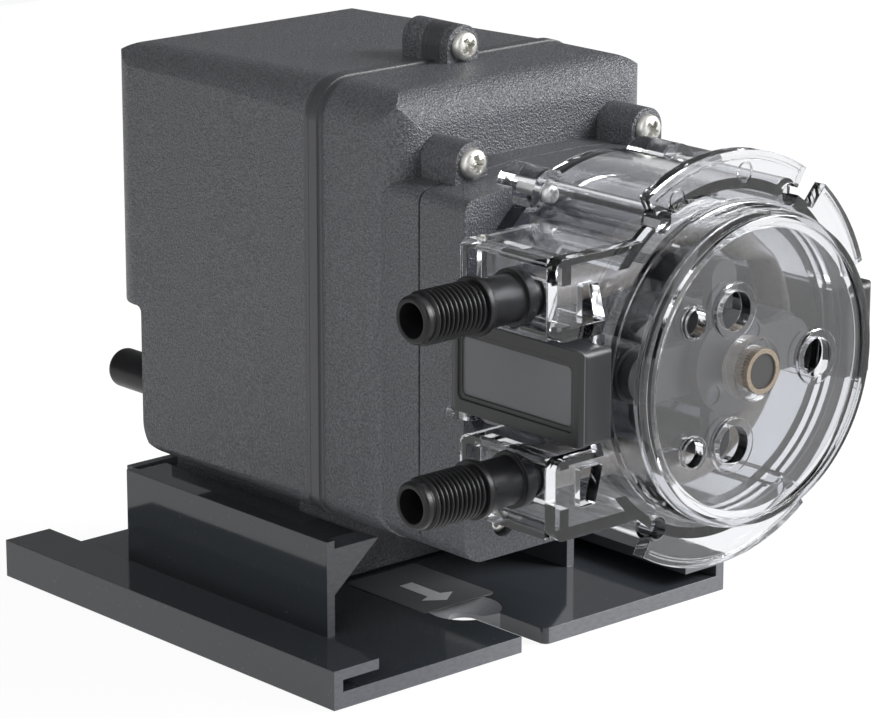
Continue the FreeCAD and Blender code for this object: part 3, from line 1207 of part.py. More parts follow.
def make_fan():
    """Axial cooling fan with pitched blades."""
    hub = rod(FAN_HUB_RADIUS, FAN_FRONT_Y, FAN_REAR_Y, MOTOR_AXIS)
    middle = (FAN_FRONT_Y + FAN_REAR_Y) / 2
    chord = FAN_WIDTH / math.cos(math.radians(FAN_PITCH_DEG)) * FAN_BLADE_FILL
    blades = []
    for index in range(FAN_BLADES):
        blade = block(FAN_HUB_RADIUS - 1, FAN_RADIUS, middle - chord / 2, middle + chord / 2,
                      MOTOR_Z - FAN_BLADE_THICKNESS / 2, MOTOR_Z + FAN_BLADE_THICKNESS / 2)
        blade.rotate(V(0, middle, MOTOR_Z), V(1, 0, 0), FAN_PITCH_DEG)
        blade.rotate(V(0, 0, MOTOR_Z), V(0, 1, 0), 360.0 * index / FAN_BLADES)
        blades.append(blade)
    disc = rod(FAN_RADIUS, FAN_FRONT_Y, FAN_REAR_Y, MOTOR_AXIS)
    fan = joined([hub] + [blade.common(disc) for blade in blades])
    return fan.cut(rod(MOTOR_SHAFT_RADIUS, FAN_FRONT_Y, FAN_REAR_Y, MOTOR_AXIS))


def make_output_rear_bush():
    front = PLATE_REAR_Y - OUTPUT_REAR_BUSH_LENGTH
    flange = rod(OUTPUT_REAR_BUSH_RADIUS + OUTPUT_REAR_BUSH_FLANGE, PLATE_FRONT_Y,
                 PLATE_FRONT_Y - OUTPUT_REAR_BUSH_FLANGE_THICKNESS)
    sleeve = rod(OUTPUT_REAR_BUSH_RADIUS, PLATE_REAR_Y, front)
    return joined([sleeve, flange]).cut(rod(OUTPUT_SHAFT_RADIUS + RUNNING_CLEARANCE, PLATE_REAR_Y, front))


def make_front_bearing():
    front = CASE_FRONT_Y + SEAL_LENGTH
    return ring(FRONT_BEARING_RADIUS, OUTPUT_SHAFT_RADIUS + RUNNING_CLEARANCE,
                front, front + FRONT_BEARING_LENGTH)


def make_shaft_seal():
    return ring(FRONT_BEARING_RADIUS, OUTPUT_SHAFT_RADIUS + RUNNING_CLEARANCE,
                CASE_FRONT_Y, CASE_FRONT_Y + SEAL_LENGTH)


# Pump head

ROLLER_REAR_Y = FITTING_Y + ROLLER_LENGTH / 2
ROLLER_FRONT_Y = FITTING_Y - ROLLER_LENGTH / 2
ROLLER_SPOTS = ((0, ROLLER_CIRCLE), (180, ROLLER_CIRCLE), (90, GUIDE_CIRCLE), (-90, GUIDE_CIRCLE))
CARRIER_REAR_Y = ROLLER_REAR_Y + ROLLER_END_GAP + CARRIER_PLATE
CARRIER_FRONT_Y = ROLLER_FRONT_Y - ROLLER_END_GAP - CARRIER_PLATE
CARRIER_SCREW_SEAT_Y = CARRIER_FRONT_Y - CARRIER_HUB_DEPTH + CARRIER_SCREW_SEAT
ARM_HIGH = HEAD_Z + ARM_OFFSET + ARM_WIDTH / 2
ARM_LOW = HEAD_Z + ARM_OFFSET - ARM_WIDTH / 2
FITTING_Z = HEAD_Z + FITTING_OFFSET
LATCH_ZONE = LATCH_HEIGHT / 2 + SWING_CLEARANCE + LATCH_CUT_MARGIN


def arm_shell():
    """Upper arm of the tube housing: a box that is open towards the cover."""
    outer = side_prism([(ARM_REAR_Y, ARM_LOW, ARM_CORNER), (HEAD_FRONT_Y, ARM_LOW, 0),
                        (HEAD_FRONT_Y, ARM_HIGH, 0), (ARM_REAR_Y, ARM_HIGH, ARM_CORNER)],
                       -ARM_END_X, -ARM_ROOT_X)
    stop_outer = -ARM_END_X + DISC_WIDTH + SEAT_CLEARANCE
    stop_inner = stop_outer + ARM_STOP_WALL
    rear, front = ARM_REAR_Y - ARM_WALL, HEAD_FRONT_Y - 1
    low, high = ARM_LOW + ARM_WALL, ARM_HIGH - ARM_WALL
    room = block(stop_inner, -ARM_ROOT_X + 1, rear, front, low, high)
    recess = block(-ARM_END_X - 1, stop_outer, rear, front, low, high)
    half = NECK_RADIUS + SEAT_CLEARANCE
    notch = joined([
        Part.makeCylinder(half, ARM_STOP_WALL + 2, V(stop_outer - 1, FITTING_Y, FITTING_Z), V(1, 0, 0)),
        block(stop_outer - 1, stop_inner + 1, FITTING_Y, front, FITTING_Z - half, FITTING_Z + half),
    ])
    seat = Part.makeCylinder(DISC_RADIUS + SEAT_CLEARANCE, DISC_WIDTH + SEAT_CLEARANCE + 1,
                             V(-ARM_END_X - 1, FITTING_Y, FITTING_Z), V(1, 0, 0))
    return without(outer, [room, recess, notch, seat])


def tube_passage():
    """Way for the pump tube from the upper arm through both ring walls."""
    half = TUBE_RADIUS + PASSAGE_ROOM
    return block(-ARM_END_X + DISC_WIDTH + ARM_STOP_WALL + 1, -PASSAGE_END_X,
                 FITTING_Y + half, HEAD_FRONT_Y - 1, FITTING_Z - half, FITTING_Z + half)


def latch_lugs():
    """Lugs above and below the left latch that hold its pin."""
    lugs = []
    reach = LATCH_PIVOT_X + LATCH_THICKNESS / 2 - 1
    for sign in (-1, 1):
        near = HEAD_Z + sign * (LATCH_HEIGHT / 2 + SWING_CLEARANCE)
        far = near + sign * LATCH_LUG_THICKNESS
        root, front = -FLAT_HALF_SPAN + LATCH_LUG_REACH, LATCH_PIVOT_Y - LATCH_LUG_REACH
        corners = [(root, CASE_FRONT_Y, 0), (root, front, 0),
                   (-reach, front, LATCH_LUG_CORNER), (-reach, CASE_FRONT_Y, 0)]
        lugs.append(plan_prism(corners, min(near, far), max(near, far)))
    return lugs


def latch_pin_hole(side):
    return upright_rod(LATCH_PIN_RADIUS, side * LATCH_PIVOT_X, LATCH_PIVOT_Y, HEAD_Z - LATCH_HEIGHT,
                       HEAD_Z + LATCH_HEIGHT)


def latch_flat(side):
    """Flat side wall of the tube housing behind a latch."""
    x = side * FLAT_HALF_SPAN
    return block(x, x - side * TRACK_WALL, CASE_FRONT_Y, HEAD_FRONT_Y,
                 HEAD_Z - LATCH_ZONE - 1, HEAD_Z + LATCH_ZONE + 1)


def make_tube_housing():
    base = rod(HEAD_RADIUS, CASE_FRONT_Y, CASE_FRONT_Y - HEAD_BASE_THICKNESS)
    skirt = ring(HEAD_RADIUS, HEAD_RADIUS - HEAD_SKIRT_WALL, CASE_FRONT_Y, HEAD_FRONT_Y)
    track = ring(TRACK_RADIUS + TRACK_WALL, TRACK_RADIUS, CASE_FRONT_Y, HEAD_FRONT_Y)
    clear_sides = [block(side * FLAT_HALF_SPAN, side * (HEAD_RADIUS + 1), CASE_FRONT_Y + 1, HEAD_FRONT_Y - 1,
                         HEAD_Z - LATCH_ZONE, HEAD_Z + LATCH_ZONE) for side in (-1, 1)]
    rings = without(joined([base, skirt, track, latch_flat(-1), latch_flat(1)]), clear_sides)
    upper_arm = arm_shell()
    core = rod(HEAD_RADIUS - HEAD_SKIRT_WALL, CASE_FRONT_Y, HEAD_FRONT_Y - 1)
    arms = [upper_arm.cut(core)]
    arms.append(mirrored_head(arms[0]))
    bosses = []
    bores = []
    for centre in head_bolt_places():
        chamber = rod(HEAD_RADIUS - HEAD_SKIRT_WALL, CASE_FRONT_Y + HEAD_BOSS_REAR + 1, HEAD_FRONT_Y)
        big = rod(HEAD_BOSS_RADIUS, CASE_FRONT_Y + HEAD_BOSS_REAR, CASE_FRONT_Y - HEAD_BOSS_FRONT, centre)
        small = rod(HEAD_TUBE_RADIUS, CASE_FRONT_Y - HEAD_BOSS_FRONT, HEAD_FRONT_Y, centre)
        bosses.append(big.cut(rod(HEAD_RADIUS - HEAD_SKIRT_WALL, CASE_FRONT_Y, HEAD_FRONT_Y)))
        bosses.append(small.cut(chamber))
        bores.append(rod(HEAD_TUBE_BORE, CASE_FRONT_Y - HEAD_BOSS_FRONT, HEAD_FRONT_Y - 1, centre))
    lugs = latch_lugs()
    lugs.extend([mirrored_x(lug) for lug in lugs])
    bores.append(rod(HEAD_BASE_HOLE, CASE_FRONT_Y + 1, CASE_FRONT_Y - HEAD_BASE_THICKNESS - 1))
    bores.extend(head_screw_holes())
    bores.extend([tube_passage(), mirrored_head(tube_passage()), latch_pin_hole(-1), latch_pin_hole(1)])
    return without(joined([rings] + arms + bosses + lugs), bores)


def arm_front():
    """Front wall of the upper arm, part of the cover, with its window."""
    corners = [(-ARM_END_X, ARM_LOW, ARM_CORNER), (-COVER_ARM_ROOT_X, ARM_LOW, 0),
               (-COVER_ARM_ROOT_X, ARM_HIGH, 0), (-ARM_END_X, ARM_HIGH, ARM_CORNER)]
    return front_prism(corners, HEAD_FRONT_Y, COVER_FRONT_Y)


def arm_window():
    low, high = FITTING_Z - ARM_WINDOW_HALF, FITTING_Z + ARM_WINDOW_HALF
    slant = ARM_WINDOW_HALF / 2
    corners = [(-ARM_WINDOW_START, low, ARM_WINDOW_CORNER), (-ARM_WINDOW_END, low, ARM_WINDOW_CORNER),
               (-ARM_WINDOW_END - slant, high, ARM_WINDOW_CORNER),
               (-ARM_WINDOW_START, high, ARM_WINDOW_CORNER)]
    return front_prism(corners, HEAD_FRONT_Y + 1, COVER_FRONT_Y - 1)


def cover_markings():
    """Fine line along the flange's edge and two shallow circles on its face."""
    middle = FLANGE_RADIUS - FLANGE_LINE_INSET
    lines = [sector(middle - FLANGE_LINE_WIDTH / 2, middle + FLANGE_LINE_WIDTH / 2,
                    start + FLANGE_LINE_END_DEG, finish - FLANGE_LINE_END_DEG,
                    COVER_FRONT_Y + FLANGE_LINE_DEPTH, COVER_FRONT_Y - 1)
             for start, finish in FLANGE_SEGMENTS]
    marks = [ring(EJECTOR_MARK_RADIUS, EJECTOR_MARK_RADIUS - EJECTOR_MARK_WIDTH,
                  COVER_FRONT_Y + EJECTOR_MARK_DEPTH, COVER_FRONT_Y - 1, polar(HEAD_AXIS, radius, angle))
             for angle, radius in EJECTOR_MARKS]
    return lines + marks


def make_tube_housing_cover():
    plate = rod(HEAD_RADIUS, HEAD_FRONT_Y, COVER_FRONT_Y)
    sides = [block(side * FLAT_HALF_SPAN, side * (HEAD_RADIUS + 1), HEAD_FRONT_Y + 1, COVER_FRONT_Y - 1,
                   HEAD_Z - LATCH_ZONE, HEAD_Z + LATCH_ZONE) for side in (-1, 1)]
    segments = [sector(DOME_BASE_RADIUS, FLANGE_RADIUS, start, finish, HEAD_FRONT_Y, COVER_FRONT_Y)
                for start, finish in FLANGE_SEGMENTS]
    rim_inner = DOME_RIM_RADIUS - DOME_RIM_WIDTH
    shoulder, foot = COVER_FRONT_Y - DOME_SHOULDER_DEPTH, COVER_FRONT_Y - DOME_FOOT_HEIGHT
    dome = turned([
        (0, DOME_FACE_Y), (rim_inner, DOME_FACE_Y), (rim_inner, DOME_FRONT_Y),
        (DOME_RIM_RADIUS, DOME_FRONT_Y), (DOME_SHOULDER_RADIUS - DOME_SHOULDER_STEP, shoulder),
        (DOME_SHOULDER_RADIUS, shoulder),
        (DOME_BASE_RADIUS - DOME_FOOT_STEP, foot), (DOME_BASE_RADIUS, foot),
        (DOME_BASE_RADIUS, HEAD_FRONT_Y), (0, HEAD_FRONT_Y)])
    hollow = turned([
        (0, DOME_INNER_Y), (DOME_BORE_RADIUS - DOME_BORE_CHAMFER, DOME_INNER_Y),
        (DOME_BORE_RADIUS, DOME_INNER_Y + DOME_BORE_CHAMFER),
        (DOME_BORE_RADIUS, HEAD_FRONT_Y + 1), (0, HEAD_FRONT_Y + 1)])
    arms = [arm_front(), mirrored_head(arm_front())]
    shell = without(joined([plate.cut(joined(sides)), dome] + segments + arms), [hollow])
    additions = [ring(BUSHING_BOSS_RADIUS, BUSHING_RADIUS, DOME_FACE_Y, DOME_FRONT_Y + BUSHING_LENGTH)]
    bores = [rod(BUSHING_RADIUS, DOME_FRONT_Y - 1, DOME_INNER_Y + 1)]
    windows = ((WINDOW_CIRCLE, WINDOW_RADIUS, WINDOW_RIM_RADIUS, WINDOW_ANGLES),
               (PEEP_CIRCLE, PEEP_RADIUS, PEEP_RIM_RADIUS, PEEP_ANGLES))
    for circle, radius, rim, angles in windows:
        for angle in angles:
            centre = polar(HEAD_AXIS, circle, angle)
            additions.append(rod(rim, DOME_INNER_Y, DOME_FACE_Y - RIM_PROUD, centre))
            bores.append(rod(radius, DOME_INNER_Y + 1, DOME_FRONT_Y - 1, centre))
    for place in head_bolt_places():
        bores.append(rod(HEAD_TUBE_BORE, HEAD_FRONT_Y + 1, COVER_FRONT_Y - 1, place))
    bores.extend([arm_window(), mirrored_head(arm_window())])
    return without(joined([shell] + additions), bores + cover_markings())


def make_cover_bushing():
    return ring(BUSHING_RADIUS, BUSHING_BORE, DOME_FRONT_Y, DOME_FRONT_Y + BUSHING_LENGTH)


def carrier_outline(y0, y1):
    """Four-armed plate: long arms for the main rollers, short ones for the guide rollers."""
    pieces = [rod(CARRIER_HUB_RADIUS, y0, y1)]
    for angle, circle in ROLLER_SPOTS:
        radius = CARRIER_ARM_RADIUS if circle == ROLLER_CIRCLE else CARRIER_GUIDE_ARM_RADIUS
        arm = block(0, circle, y0, y1, HEAD_Z - radius, HEAD_Z + radius)
        arm.rotate(V(0, 0, HEAD_Z), V(0, -1, 0), angle)
        pieces.append(arm)
        pieces.append(rod(radius, y0, y1, polar(HEAD_AXIS, circle, angle)))
    return pieces


def roller_places():
    """Pin centres of the two main rollers, then of the two guide rollers."""
    return [polar(HEAD_AXIS, circle, angle) for angle, circle in ROLLER_SPOTS]


def roller_room(y0, y1):
    """Space that the four rollers turn in."""
    radii = (ROLLER_RADIUS + ROLLER_ROOM,) * 2 + (GUIDE_RADIUS + GUIDE_ROOM,) * 2
    return [rod(radius, y0, y1, place) for radius, place in zip(radii, roller_places())]


def carrier_screw_places():
    return [polar(HEAD_AXIS, CARRIER_HUB_RADIUS - CARRIER_SCREW_INSET, angle) for angle in (45, 225)]


def make_rear_carrier():
    front, rear = ROLLER_REAR_Y + ROLLER_END_GAP, CARRIER_REAR_Y
    pieces = carrier_outline(front, rear)
    pieces.append(rod(CARRIER_SLEEVE_RADIUS, rear, CASE_FRONT_Y - 1))
    pieces.append(rod(CARRIER_HUB_RADIUS, FITTING_Y, front))
    bores = [rod(ROLLER_PIN_RADIUS, front, rear - 1, place) for place in roller_places()]
    bores.append(flatted_rod(ROLLER_FRONT_Y, CASE_FRONT_Y))
    shank = CARRIER_SCREW_RADIUS + RUNNING_CLEARANCE
    bores.extend(rod(shank, FITTING_Y - 1, rear - 1, place) for place in carrier_screw_places())
    bores.append(rod(OUTPUT_SHAFT_RADIUS, rear, CASE_FRONT_Y))
    return without(joined(pieces), bores + roller_room(ROLLER_FRONT_Y - 1, front))


def make_front_carrier():
    rear, front = ROLLER_FRONT_Y - ROLLER_END_GAP, CARRIER_FRONT_Y
    pieces = carrier_outline(front, rear)
    pieces.append(rod(CARRIER_HUB_RADIUS, rear, FITTING_Y))
    pieces.append(rod(CARRIER_HUB_RADIUS, front, front - CARRIER_HUB_DEPTH))
    pieces.append(rod(BUSHING_BORE - RUNNING_CLEARANCE, front, DOME_FACE_Y - CARRIER_STEM_GAP))
    bores = [rod(ROLLER_PIN_RADIUS, front + 1, rear, place) for place in roller_places()]
    bores.append(flatted_rod(FITTING_Y + 1, front))
    seat = CARRIER_SCREW_SEAT_Y
    head = CARRIER_SCREW_HEAD_RADIUS + RUNNING_CLEARANCE
    for place in carrier_screw_places():
        bores.append(rod(CARRIER_SCREW_RADIUS + RUNNING_CLEARANCE, FITTING_Y + 1, seat, place))
        bores.append(rod(head, seat, front - CARRIER_HUB_DEPTH - 1, place))
    return without(joined(pieces), bores + roller_room(rear, ROLLER_REAR_Y))


def make_carrier_screws():
    seat = CARRIER_SCREW_SEAT_Y
    screws = [joined([rod(CARRIER_SCREW_RADIUS, seat, ROLLER_REAR_Y - CARRIER_SCREW_TIP, place),
                      rod(CARRIER_SCREW_HEAD_RADIUS, seat, seat - CARRIER_SCREW_HEAD_HEIGHT, place)])
              for place in carrier_screw_places()]
    return Part.makeCompound(screws)


def make_roller_pins():
    rear, front = CARRIER_REAR_Y - 1, CARRIER_FRONT_Y + 1
    return Part.makeCompound([rod(ROLLER_PIN_RADIUS, front, rear, place) for place in roller_places()])


def make_roller(index):
    """Main rollers are 0 and 1, guide rollers 2 and 3."""
    place = roller_places()[index]
    radius = ROLLER_RADIUS if index < 2 else GUIDE_RADIUS
    return ring(radius, ROLLER_PIN_RADIUS + RUNNING_CLEARANCE, ROLLER_REAR_Y, ROLLER_FRONT_Y, place)


def tube_entry():
    """Centre of the small entry bend, relative to the head axis."""
    track = TRACK_RADIUS - SOFT_CLEARANCE - TUBE_RADIUS
    height = FITTING_OFFSET + TUBE_ENTRY_RADIUS
    x = -math.sqrt((track + TUBE_ENTRY_RADIUS) ** 2 - height ** 2)
    return track, x, height


def tube_end_x():
    return -ARM_END_X + DISC_WIDTH + SEAT_CLEARANCE * 2 + ARM_STOP_WALL + NECK_FLANGE_WIDTH


def round_section(centre, outward, across, along):
    """Closed smooth wire across the tube: across lies along outward, along lies on Y."""
    points = []
    for step in range(12):
        turn = math.radians(30 * step)
        points.append(centre + outward * (across * math.cos(turn)) + V(0, along * math.sin(turn), 0))
    curve = Part.BSplineCurve()
    curve.interpolate(Points=points, PeriodicFlag=True)
    return Part.Wire(curve.toShape())


def upper_tube_run(radius, pinch):
    """Straight, entry bend and arc down to the blend into the squeezed part."""
    track, x, height = tube_entry()
    upward = V(0, 0, 1)
    start = Part.Face(round_section(V(tube_end_x(), FITTING_Y, FITTING_Z), upward, radius, radius))
    straight = start.extrude(V(x - tube_end_x(), 0, 0))
    turn = math.degrees(math.atan2(-x, height))
    bend = Part.Face(round_section(V(x, FITTING_Y, FITTING_Z), upward, radius, radius))
    bend = bend.revolve(V(x, 0, HEAD_Z + height), V(0, -1, 0), turn)
    finish_angle = pinch + TUBE_BLEND_DEG
    place = polar(HEAD_AXIS, track, finish_angle)
    outward = V(math.cos(math.radians(finish_angle)), 0, math.sin(math.radians(finish_angle)))
    arc = Part.Face(round_section(V(place[0], FITTING_Y, place[1]), outward, radius, radius))
    arc = arc.revolve(V(0, 0, HEAD_Z), V(0, -1, 0), 90 + turn - finish_angle)
    return [straight, bend, arc]


def tube_section(angle, share):
    """Section on the track; share is 0 where it is round and 1 where it is squeezed."""
    across = TUBE_RADIUS + (TUBE_FLAT_THICKNESS / 2 - TUBE_RADIUS) * share
    along = TUBE_RADIUS + (TUBE_FLAT_WIDTH / 2 - TUBE_RADIUS) * share
    x, z = polar((0, HEAD_Z), TRACK_RADIUS - SOFT_CLEARANCE - across, angle)
    turn = math.radians(angle)
    return round_section(V(x, FITTING_Y, z), V(math.cos(turn), 0, math.sin(turn)), across, along)


def make_pump_tube():
    """Tube round the right side of the track, squeezed shut at the roller and ahead of its way."""
    flat = Part.Face(tube_section(-TUBE_PINCH_DEG, 1))
    pieces = [flat.revolve(V(0, 0, HEAD_Z), V(0, -1, 0), TUBE_PINCH_DEG + TUBE_PINCH_AHEAD_DEG)]
    bore = []
    for pinch, below in ((TUBE_PINCH_AHEAD_DEG, False), (TUBE_PINCH_DEG, True)):
        sections = [tube_section(pinch + TUBE_BLEND_DEG * (1 - step), share)
                    for step, share in TUBE_BLEND_STEPS]
        half = upper_tube_run(TUBE_RADIUS, pinch) + [Part.makeLoft(sections, True, False)]
        half_bore = upper_tube_run(TUBE_BORE, pinch)
        pieces.extend([mirrored_head(piece) for piece in half] if below else half)
        bore.extend([mirrored_head(piece) for piece in half_bore] if below else half_bore)
    return pieces[0].fuse(pieces[1:]).cut(bore)


def fitting_profile():
    """Radius and distance from the fitting's tip along its axis."""
    flange_end = FITTING_LENGTH
    neck_end = flange_end - NECK_FLANGE_WIDTH
    disc_start = DISC_FROM_TIP
    disc_end = disc_start + DISC_WIDTH
    collar_start = THREAD_LEAD_IN + THREAD_LENGTH
    collar_end = collar_start + COLLAR_WIDTH
    return [(0, THREAD_LEAD_RADIUS), (THREAD_LEAD_IN - THREAD_RUNOUT, THREAD_LEAD_RADIUS),
            (THREAD_LEAD_IN, THREAD_RADIUS), (collar_start, THREAD_RADIUS),
            (collar_start, COLLAR_RADIUS), (collar_end, COLLAR_RADIUS),
            (collar_end, BARREL_RADIUS), (disc_start, BARREL_RADIUS), (disc_start, DISC_RADIUS),
            (disc_end, DISC_RADIUS), (disc_end, NECK_RADIUS), (neck_end, NECK_RADIUS),
            (neck_end, NECK_FLANGE_RADIUS), (flange_end, NECK_FLANGE_RADIUS)]


def make_upper_fitting():
    outer = [V(FITTING_TIP_X + along, FITTING_Y, FITTING_Z + radius) for along, radius in fitting_profile()]
    inner = [V(FITTING_TIP_X + FITTING_LENGTH, FITTING_Y, FITTING_Z + TUBE_BORE),
             V(FITTING_TIP_X + DISC_FROM_TIP, FITTING_Y, FITTING_Z + TUBE_BORE),
             V(FITTING_TIP_X + DISC_FROM_TIP - FITTING_BORE_TAPER, FITTING_Y, FITTING_Z + FITTING_BORE),
             V(FITTING_TIP_X, FITTING_Y, FITTING_Z + FITTING_BORE)]
    face = Part.Face(Part.makePolygon(outer + inner + [outer[0]]))
    return face.revolve(V(0, FITTING_Y, FITTING_Z), V(1, 0, 0), 360)


def make_left_latch():
    """Latch with a rounded rear end on its pin, a recessed panel and a hook over the cover."""
    outer_x, inner_x = -LATCH_HALF_SPAN, -LATCH_HALF_SPAN + LATCH_THICKNESS
    rear, front = LATCH_REAR_Y, LATCH_REAR_Y - LATCH_LENGTH
    low, high = HEAD_Z - LATCH_HEIGHT / 2, HEAD_Z + LATCH_HEIGHT / 2
    round_end = LATCH_THICKNESS / 2 - 0.01
    hook_rear = COVER_FRONT_Y - SWING_CLEARANCE
    tip_x = inner_x + LATCH_HOOK_WIDTH
    corners = [(outer_x, rear, round_end), (outer_x, front, LATCH_EDGE_RADIUS),
               (tip_x, front, LATCH_HOOK_CORNER), (tip_x, hook_rear, 0), (inner_x, hook_rear, 0),
               (inner_x, rear, round_end)]
    body = plan_prism(corners, low, high)
    edge = LATCH_EDGE_RADIUS
    soft = side_prism([(rear + 1, low, 0), (front, low, edge), (front, high, edge), (rear + 1, high, 0)],
                      outer_x - 1, tip_x + 1)
    body = body.common(soft)
    cutters = []
    for step in (1, 2):
        border = LATCH_PANEL_BORDER + (step - 1) * LATCH_PANEL_STEP
        near, far = front + border, rear - border - LATCH_PANEL_CORNER
        panel = [(far, low + border, LATCH_PANEL_CORNER), (near, low + border, LATCH_PANEL_CORNER),
                 (near, high - border, LATCH_PANEL_CORNER), (far, high - border, LATCH_PANEL_CORNER)]
        cutters.append(side_prism(panel, outer_x - 1, outer_x + step * LATCH_PANEL_DEPTH))
    skin = outer_x + LATCH_WALL + 2 * LATCH_PANEL_DEPTH
    cutters.append(block(inner_x + 1, skin, LATCH_PIVOT_Y - LATCH_THICKNESS / 2 - 1,
                         COVER_FRONT_Y + LATCH_WALL * 2, low + LATCH_WALL, high - LATCH_WALL))
    pin_hole = LATCH_PIN_RADIUS + RUNNING_CLEARANCE
    cutters.append(upright_rod(pin_hole, -LATCH_PIVOT_X, LATCH_PIVOT_Y, low - 1, high + 1))
    return without(body, cutters)


def make_latch_pins():
    reach = LATCH_HEIGHT / 2 + SWING_CLEARANCE + LATCH_LUG_THICKNESS
    return Part.makeCompound([upright_rod(LATCH_PIN_RADIUS, side * LATCH_PIVOT_X, LATCH_PIVOT_Y,
                                          HEAD_Z - reach, HEAD_Z + reach) for side in (-1, 1)])


def make_foot_screws():
    seat = CASE_BOTTOM - FOOT_SCREW_SEAT
    return Part.makeCompound([screw_at((x, y, seat), (0, 0, -1)) for x, y in foot_screw_places()])


def build():
    """Every node by name."""
    fitting = make_upper_fitting()
    latch = make_left_latch()
    return {
        "mounting_bracket": make_bracket(),
        "bracket_label": make_label(),
        "dovetail_foot": make_foot(),
        "foot_screws": make_foot_screws(),
        "motor_housing": make_motor_housing(),
        "seam_gasket": seam_gasket(),
        "gear_case": make_gear_case(),
        "cover_gasket": cover_gasket(),
        "gear_case_cover": make_gear_case_cover(),
        "case_screws": Part.makeCompound(case_screw_parts(screw_at)),
        "cord_gland": make_cord_gland(),
        "gland_nut": make_gland_nut(),
        "motor_plate": make_motor_plate(),
        "plate_screws": make_plate_screws(),
        "motor_stator": make_stator(),
        "motor_coils": make_coils(),
        "motor_rotor": make_rotor(),
        "motor_shaft": make_motor_shaft(),
        "motor_pinion": make_motor_pinion(),
        "cooling_fan": make_fan(),
        "front_motor_bearing": make_front_motor_bearing(),
        "rear_motor_bearing": make_rear_motor_bearing(),
        "motor_rear_bracket": make_motor_bracket(),
        "motor_posts": make_motor_posts(),
        "first_gear": make_first_gear(),
        "first_pinion": make_first_pinion(),
        "first_gear_post": make_post(FIRST_AXIS, first_hub_front()),
        "second_gear": make_second_gear(),
        "second_pinion": make_second_pinion(),
        "second_gear_post": make_post(SECOND_AXIS, second_hub_front()),
        "gear_clips": make_gear_clips(),
        "output_gear": make_output_gear(),
        "output_shaft": make_output_shaft(),
        "output_rear_bush": make_output_rear_bush(),
        "output_front_bearing": make_front_bearing(),
        "shaft_seal": make_shaft_seal(),
        "tube_housing": make_tube_housing(),
        "tube_housing_screws": make_head_screws(),
        "tube_housing_cover": make_tube_housing_cover(),
        "cover_bushing": make_cover_bushing(),
        "rear_roller_carrier": make_rear_carrier(),
        "front_roller_carrier": make_front_carrier(),
        "carrier_screws": make_carrier_screws(),
        "roller_pins": make_roller_pins(),
        "main_roller_right": make_roller(0),
        "main_roller_left": make_roller(1),
        "guide_roller_upper": make_roller(2),
        "guide_roller_lower": make_roller(3),
        "pump_tube": make_pump_tube(),
        "upper_tube_fitting": fitting,
        "lower_tube_fitting": mirrored_head(fitting),
        "latch_left": latch,
        "latch_right": mirrored_x(latch),
        "latch_pins": make_latch_pins(),
    }


os.makedirs("parts", exist_ok=True)
for name, shape in build().items():
    shape.exportStep(os.path.join("parts", name + ".step"))
    print(name, len(shape.Solids), shape.isValid(), round(shape.Volume, 1))
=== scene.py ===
import json
import logging
import math
from collections.abc import Sequence
from dataclasses import dataclass
from enum import Enum

import bmesh
import bpy
from mathutils import Euler, Matrix, Vector


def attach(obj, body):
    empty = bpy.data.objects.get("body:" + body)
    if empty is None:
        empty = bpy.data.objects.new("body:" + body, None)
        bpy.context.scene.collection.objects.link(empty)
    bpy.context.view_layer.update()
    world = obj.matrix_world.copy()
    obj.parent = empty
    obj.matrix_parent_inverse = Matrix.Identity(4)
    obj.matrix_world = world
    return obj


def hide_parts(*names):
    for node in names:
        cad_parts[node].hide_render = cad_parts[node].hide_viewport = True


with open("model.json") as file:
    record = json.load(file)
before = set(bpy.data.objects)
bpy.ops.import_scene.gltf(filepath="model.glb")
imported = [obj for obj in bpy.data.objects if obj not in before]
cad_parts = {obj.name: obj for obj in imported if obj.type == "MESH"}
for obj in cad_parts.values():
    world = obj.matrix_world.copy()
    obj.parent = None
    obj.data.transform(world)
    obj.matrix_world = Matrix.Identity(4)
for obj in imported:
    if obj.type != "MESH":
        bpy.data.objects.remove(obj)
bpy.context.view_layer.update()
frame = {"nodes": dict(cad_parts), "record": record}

# Sizes and places are millimetres, in the frame's own axes, unless a docstring says metres.
Colour = tuple[float, float, float, float]
Place = tuple[float, float, float]
Seat = tuple[Place, float, float]
Socket = bpy.types.NodeSocket
MM = 0.001
BANDS_AT_SCALE_ONE = 6.2
HEAD_Z = 100.2
CASE_FRONT_Y = -97.4
LOG = logging.getLogger("feed_pump")


class Facing(Enum):
    """The way a round part looks along its own axis."""

    FRONT = (0.0, -1.0, 0.0)
    RIGHT = (1.0, 0.0, 0.0)

    def turn(self) -> Matrix:
        """Rotation that takes +Z to this direction."""
        return Vector((0, 0, 1)).rotation_difference(Vector(self.value)).to_matrix().to_4x4()


class Tree:
    """A node tree with short calls to add and join its nodes."""

    def __init__(self, tree: bpy.types.NodeTree) -> None:
        """Keep the tree that the calls write to."""
        self.tree = tree

    def node(self, kind: str, **settings: object) -> bpy.types.Node:
        """Add a node.

        Args:
            kind: The node's type name.
            settings: Properties of the node.

        Returns:
            The node.
        """
        made = self.tree.nodes.new(kind)
        for key, value in settings.items():
            setattr(made, key, value)
        return made

    def link(self, source: Socket, target: Socket) -> None:
        """Join two sockets."""
        self.tree.links.new(source, target)


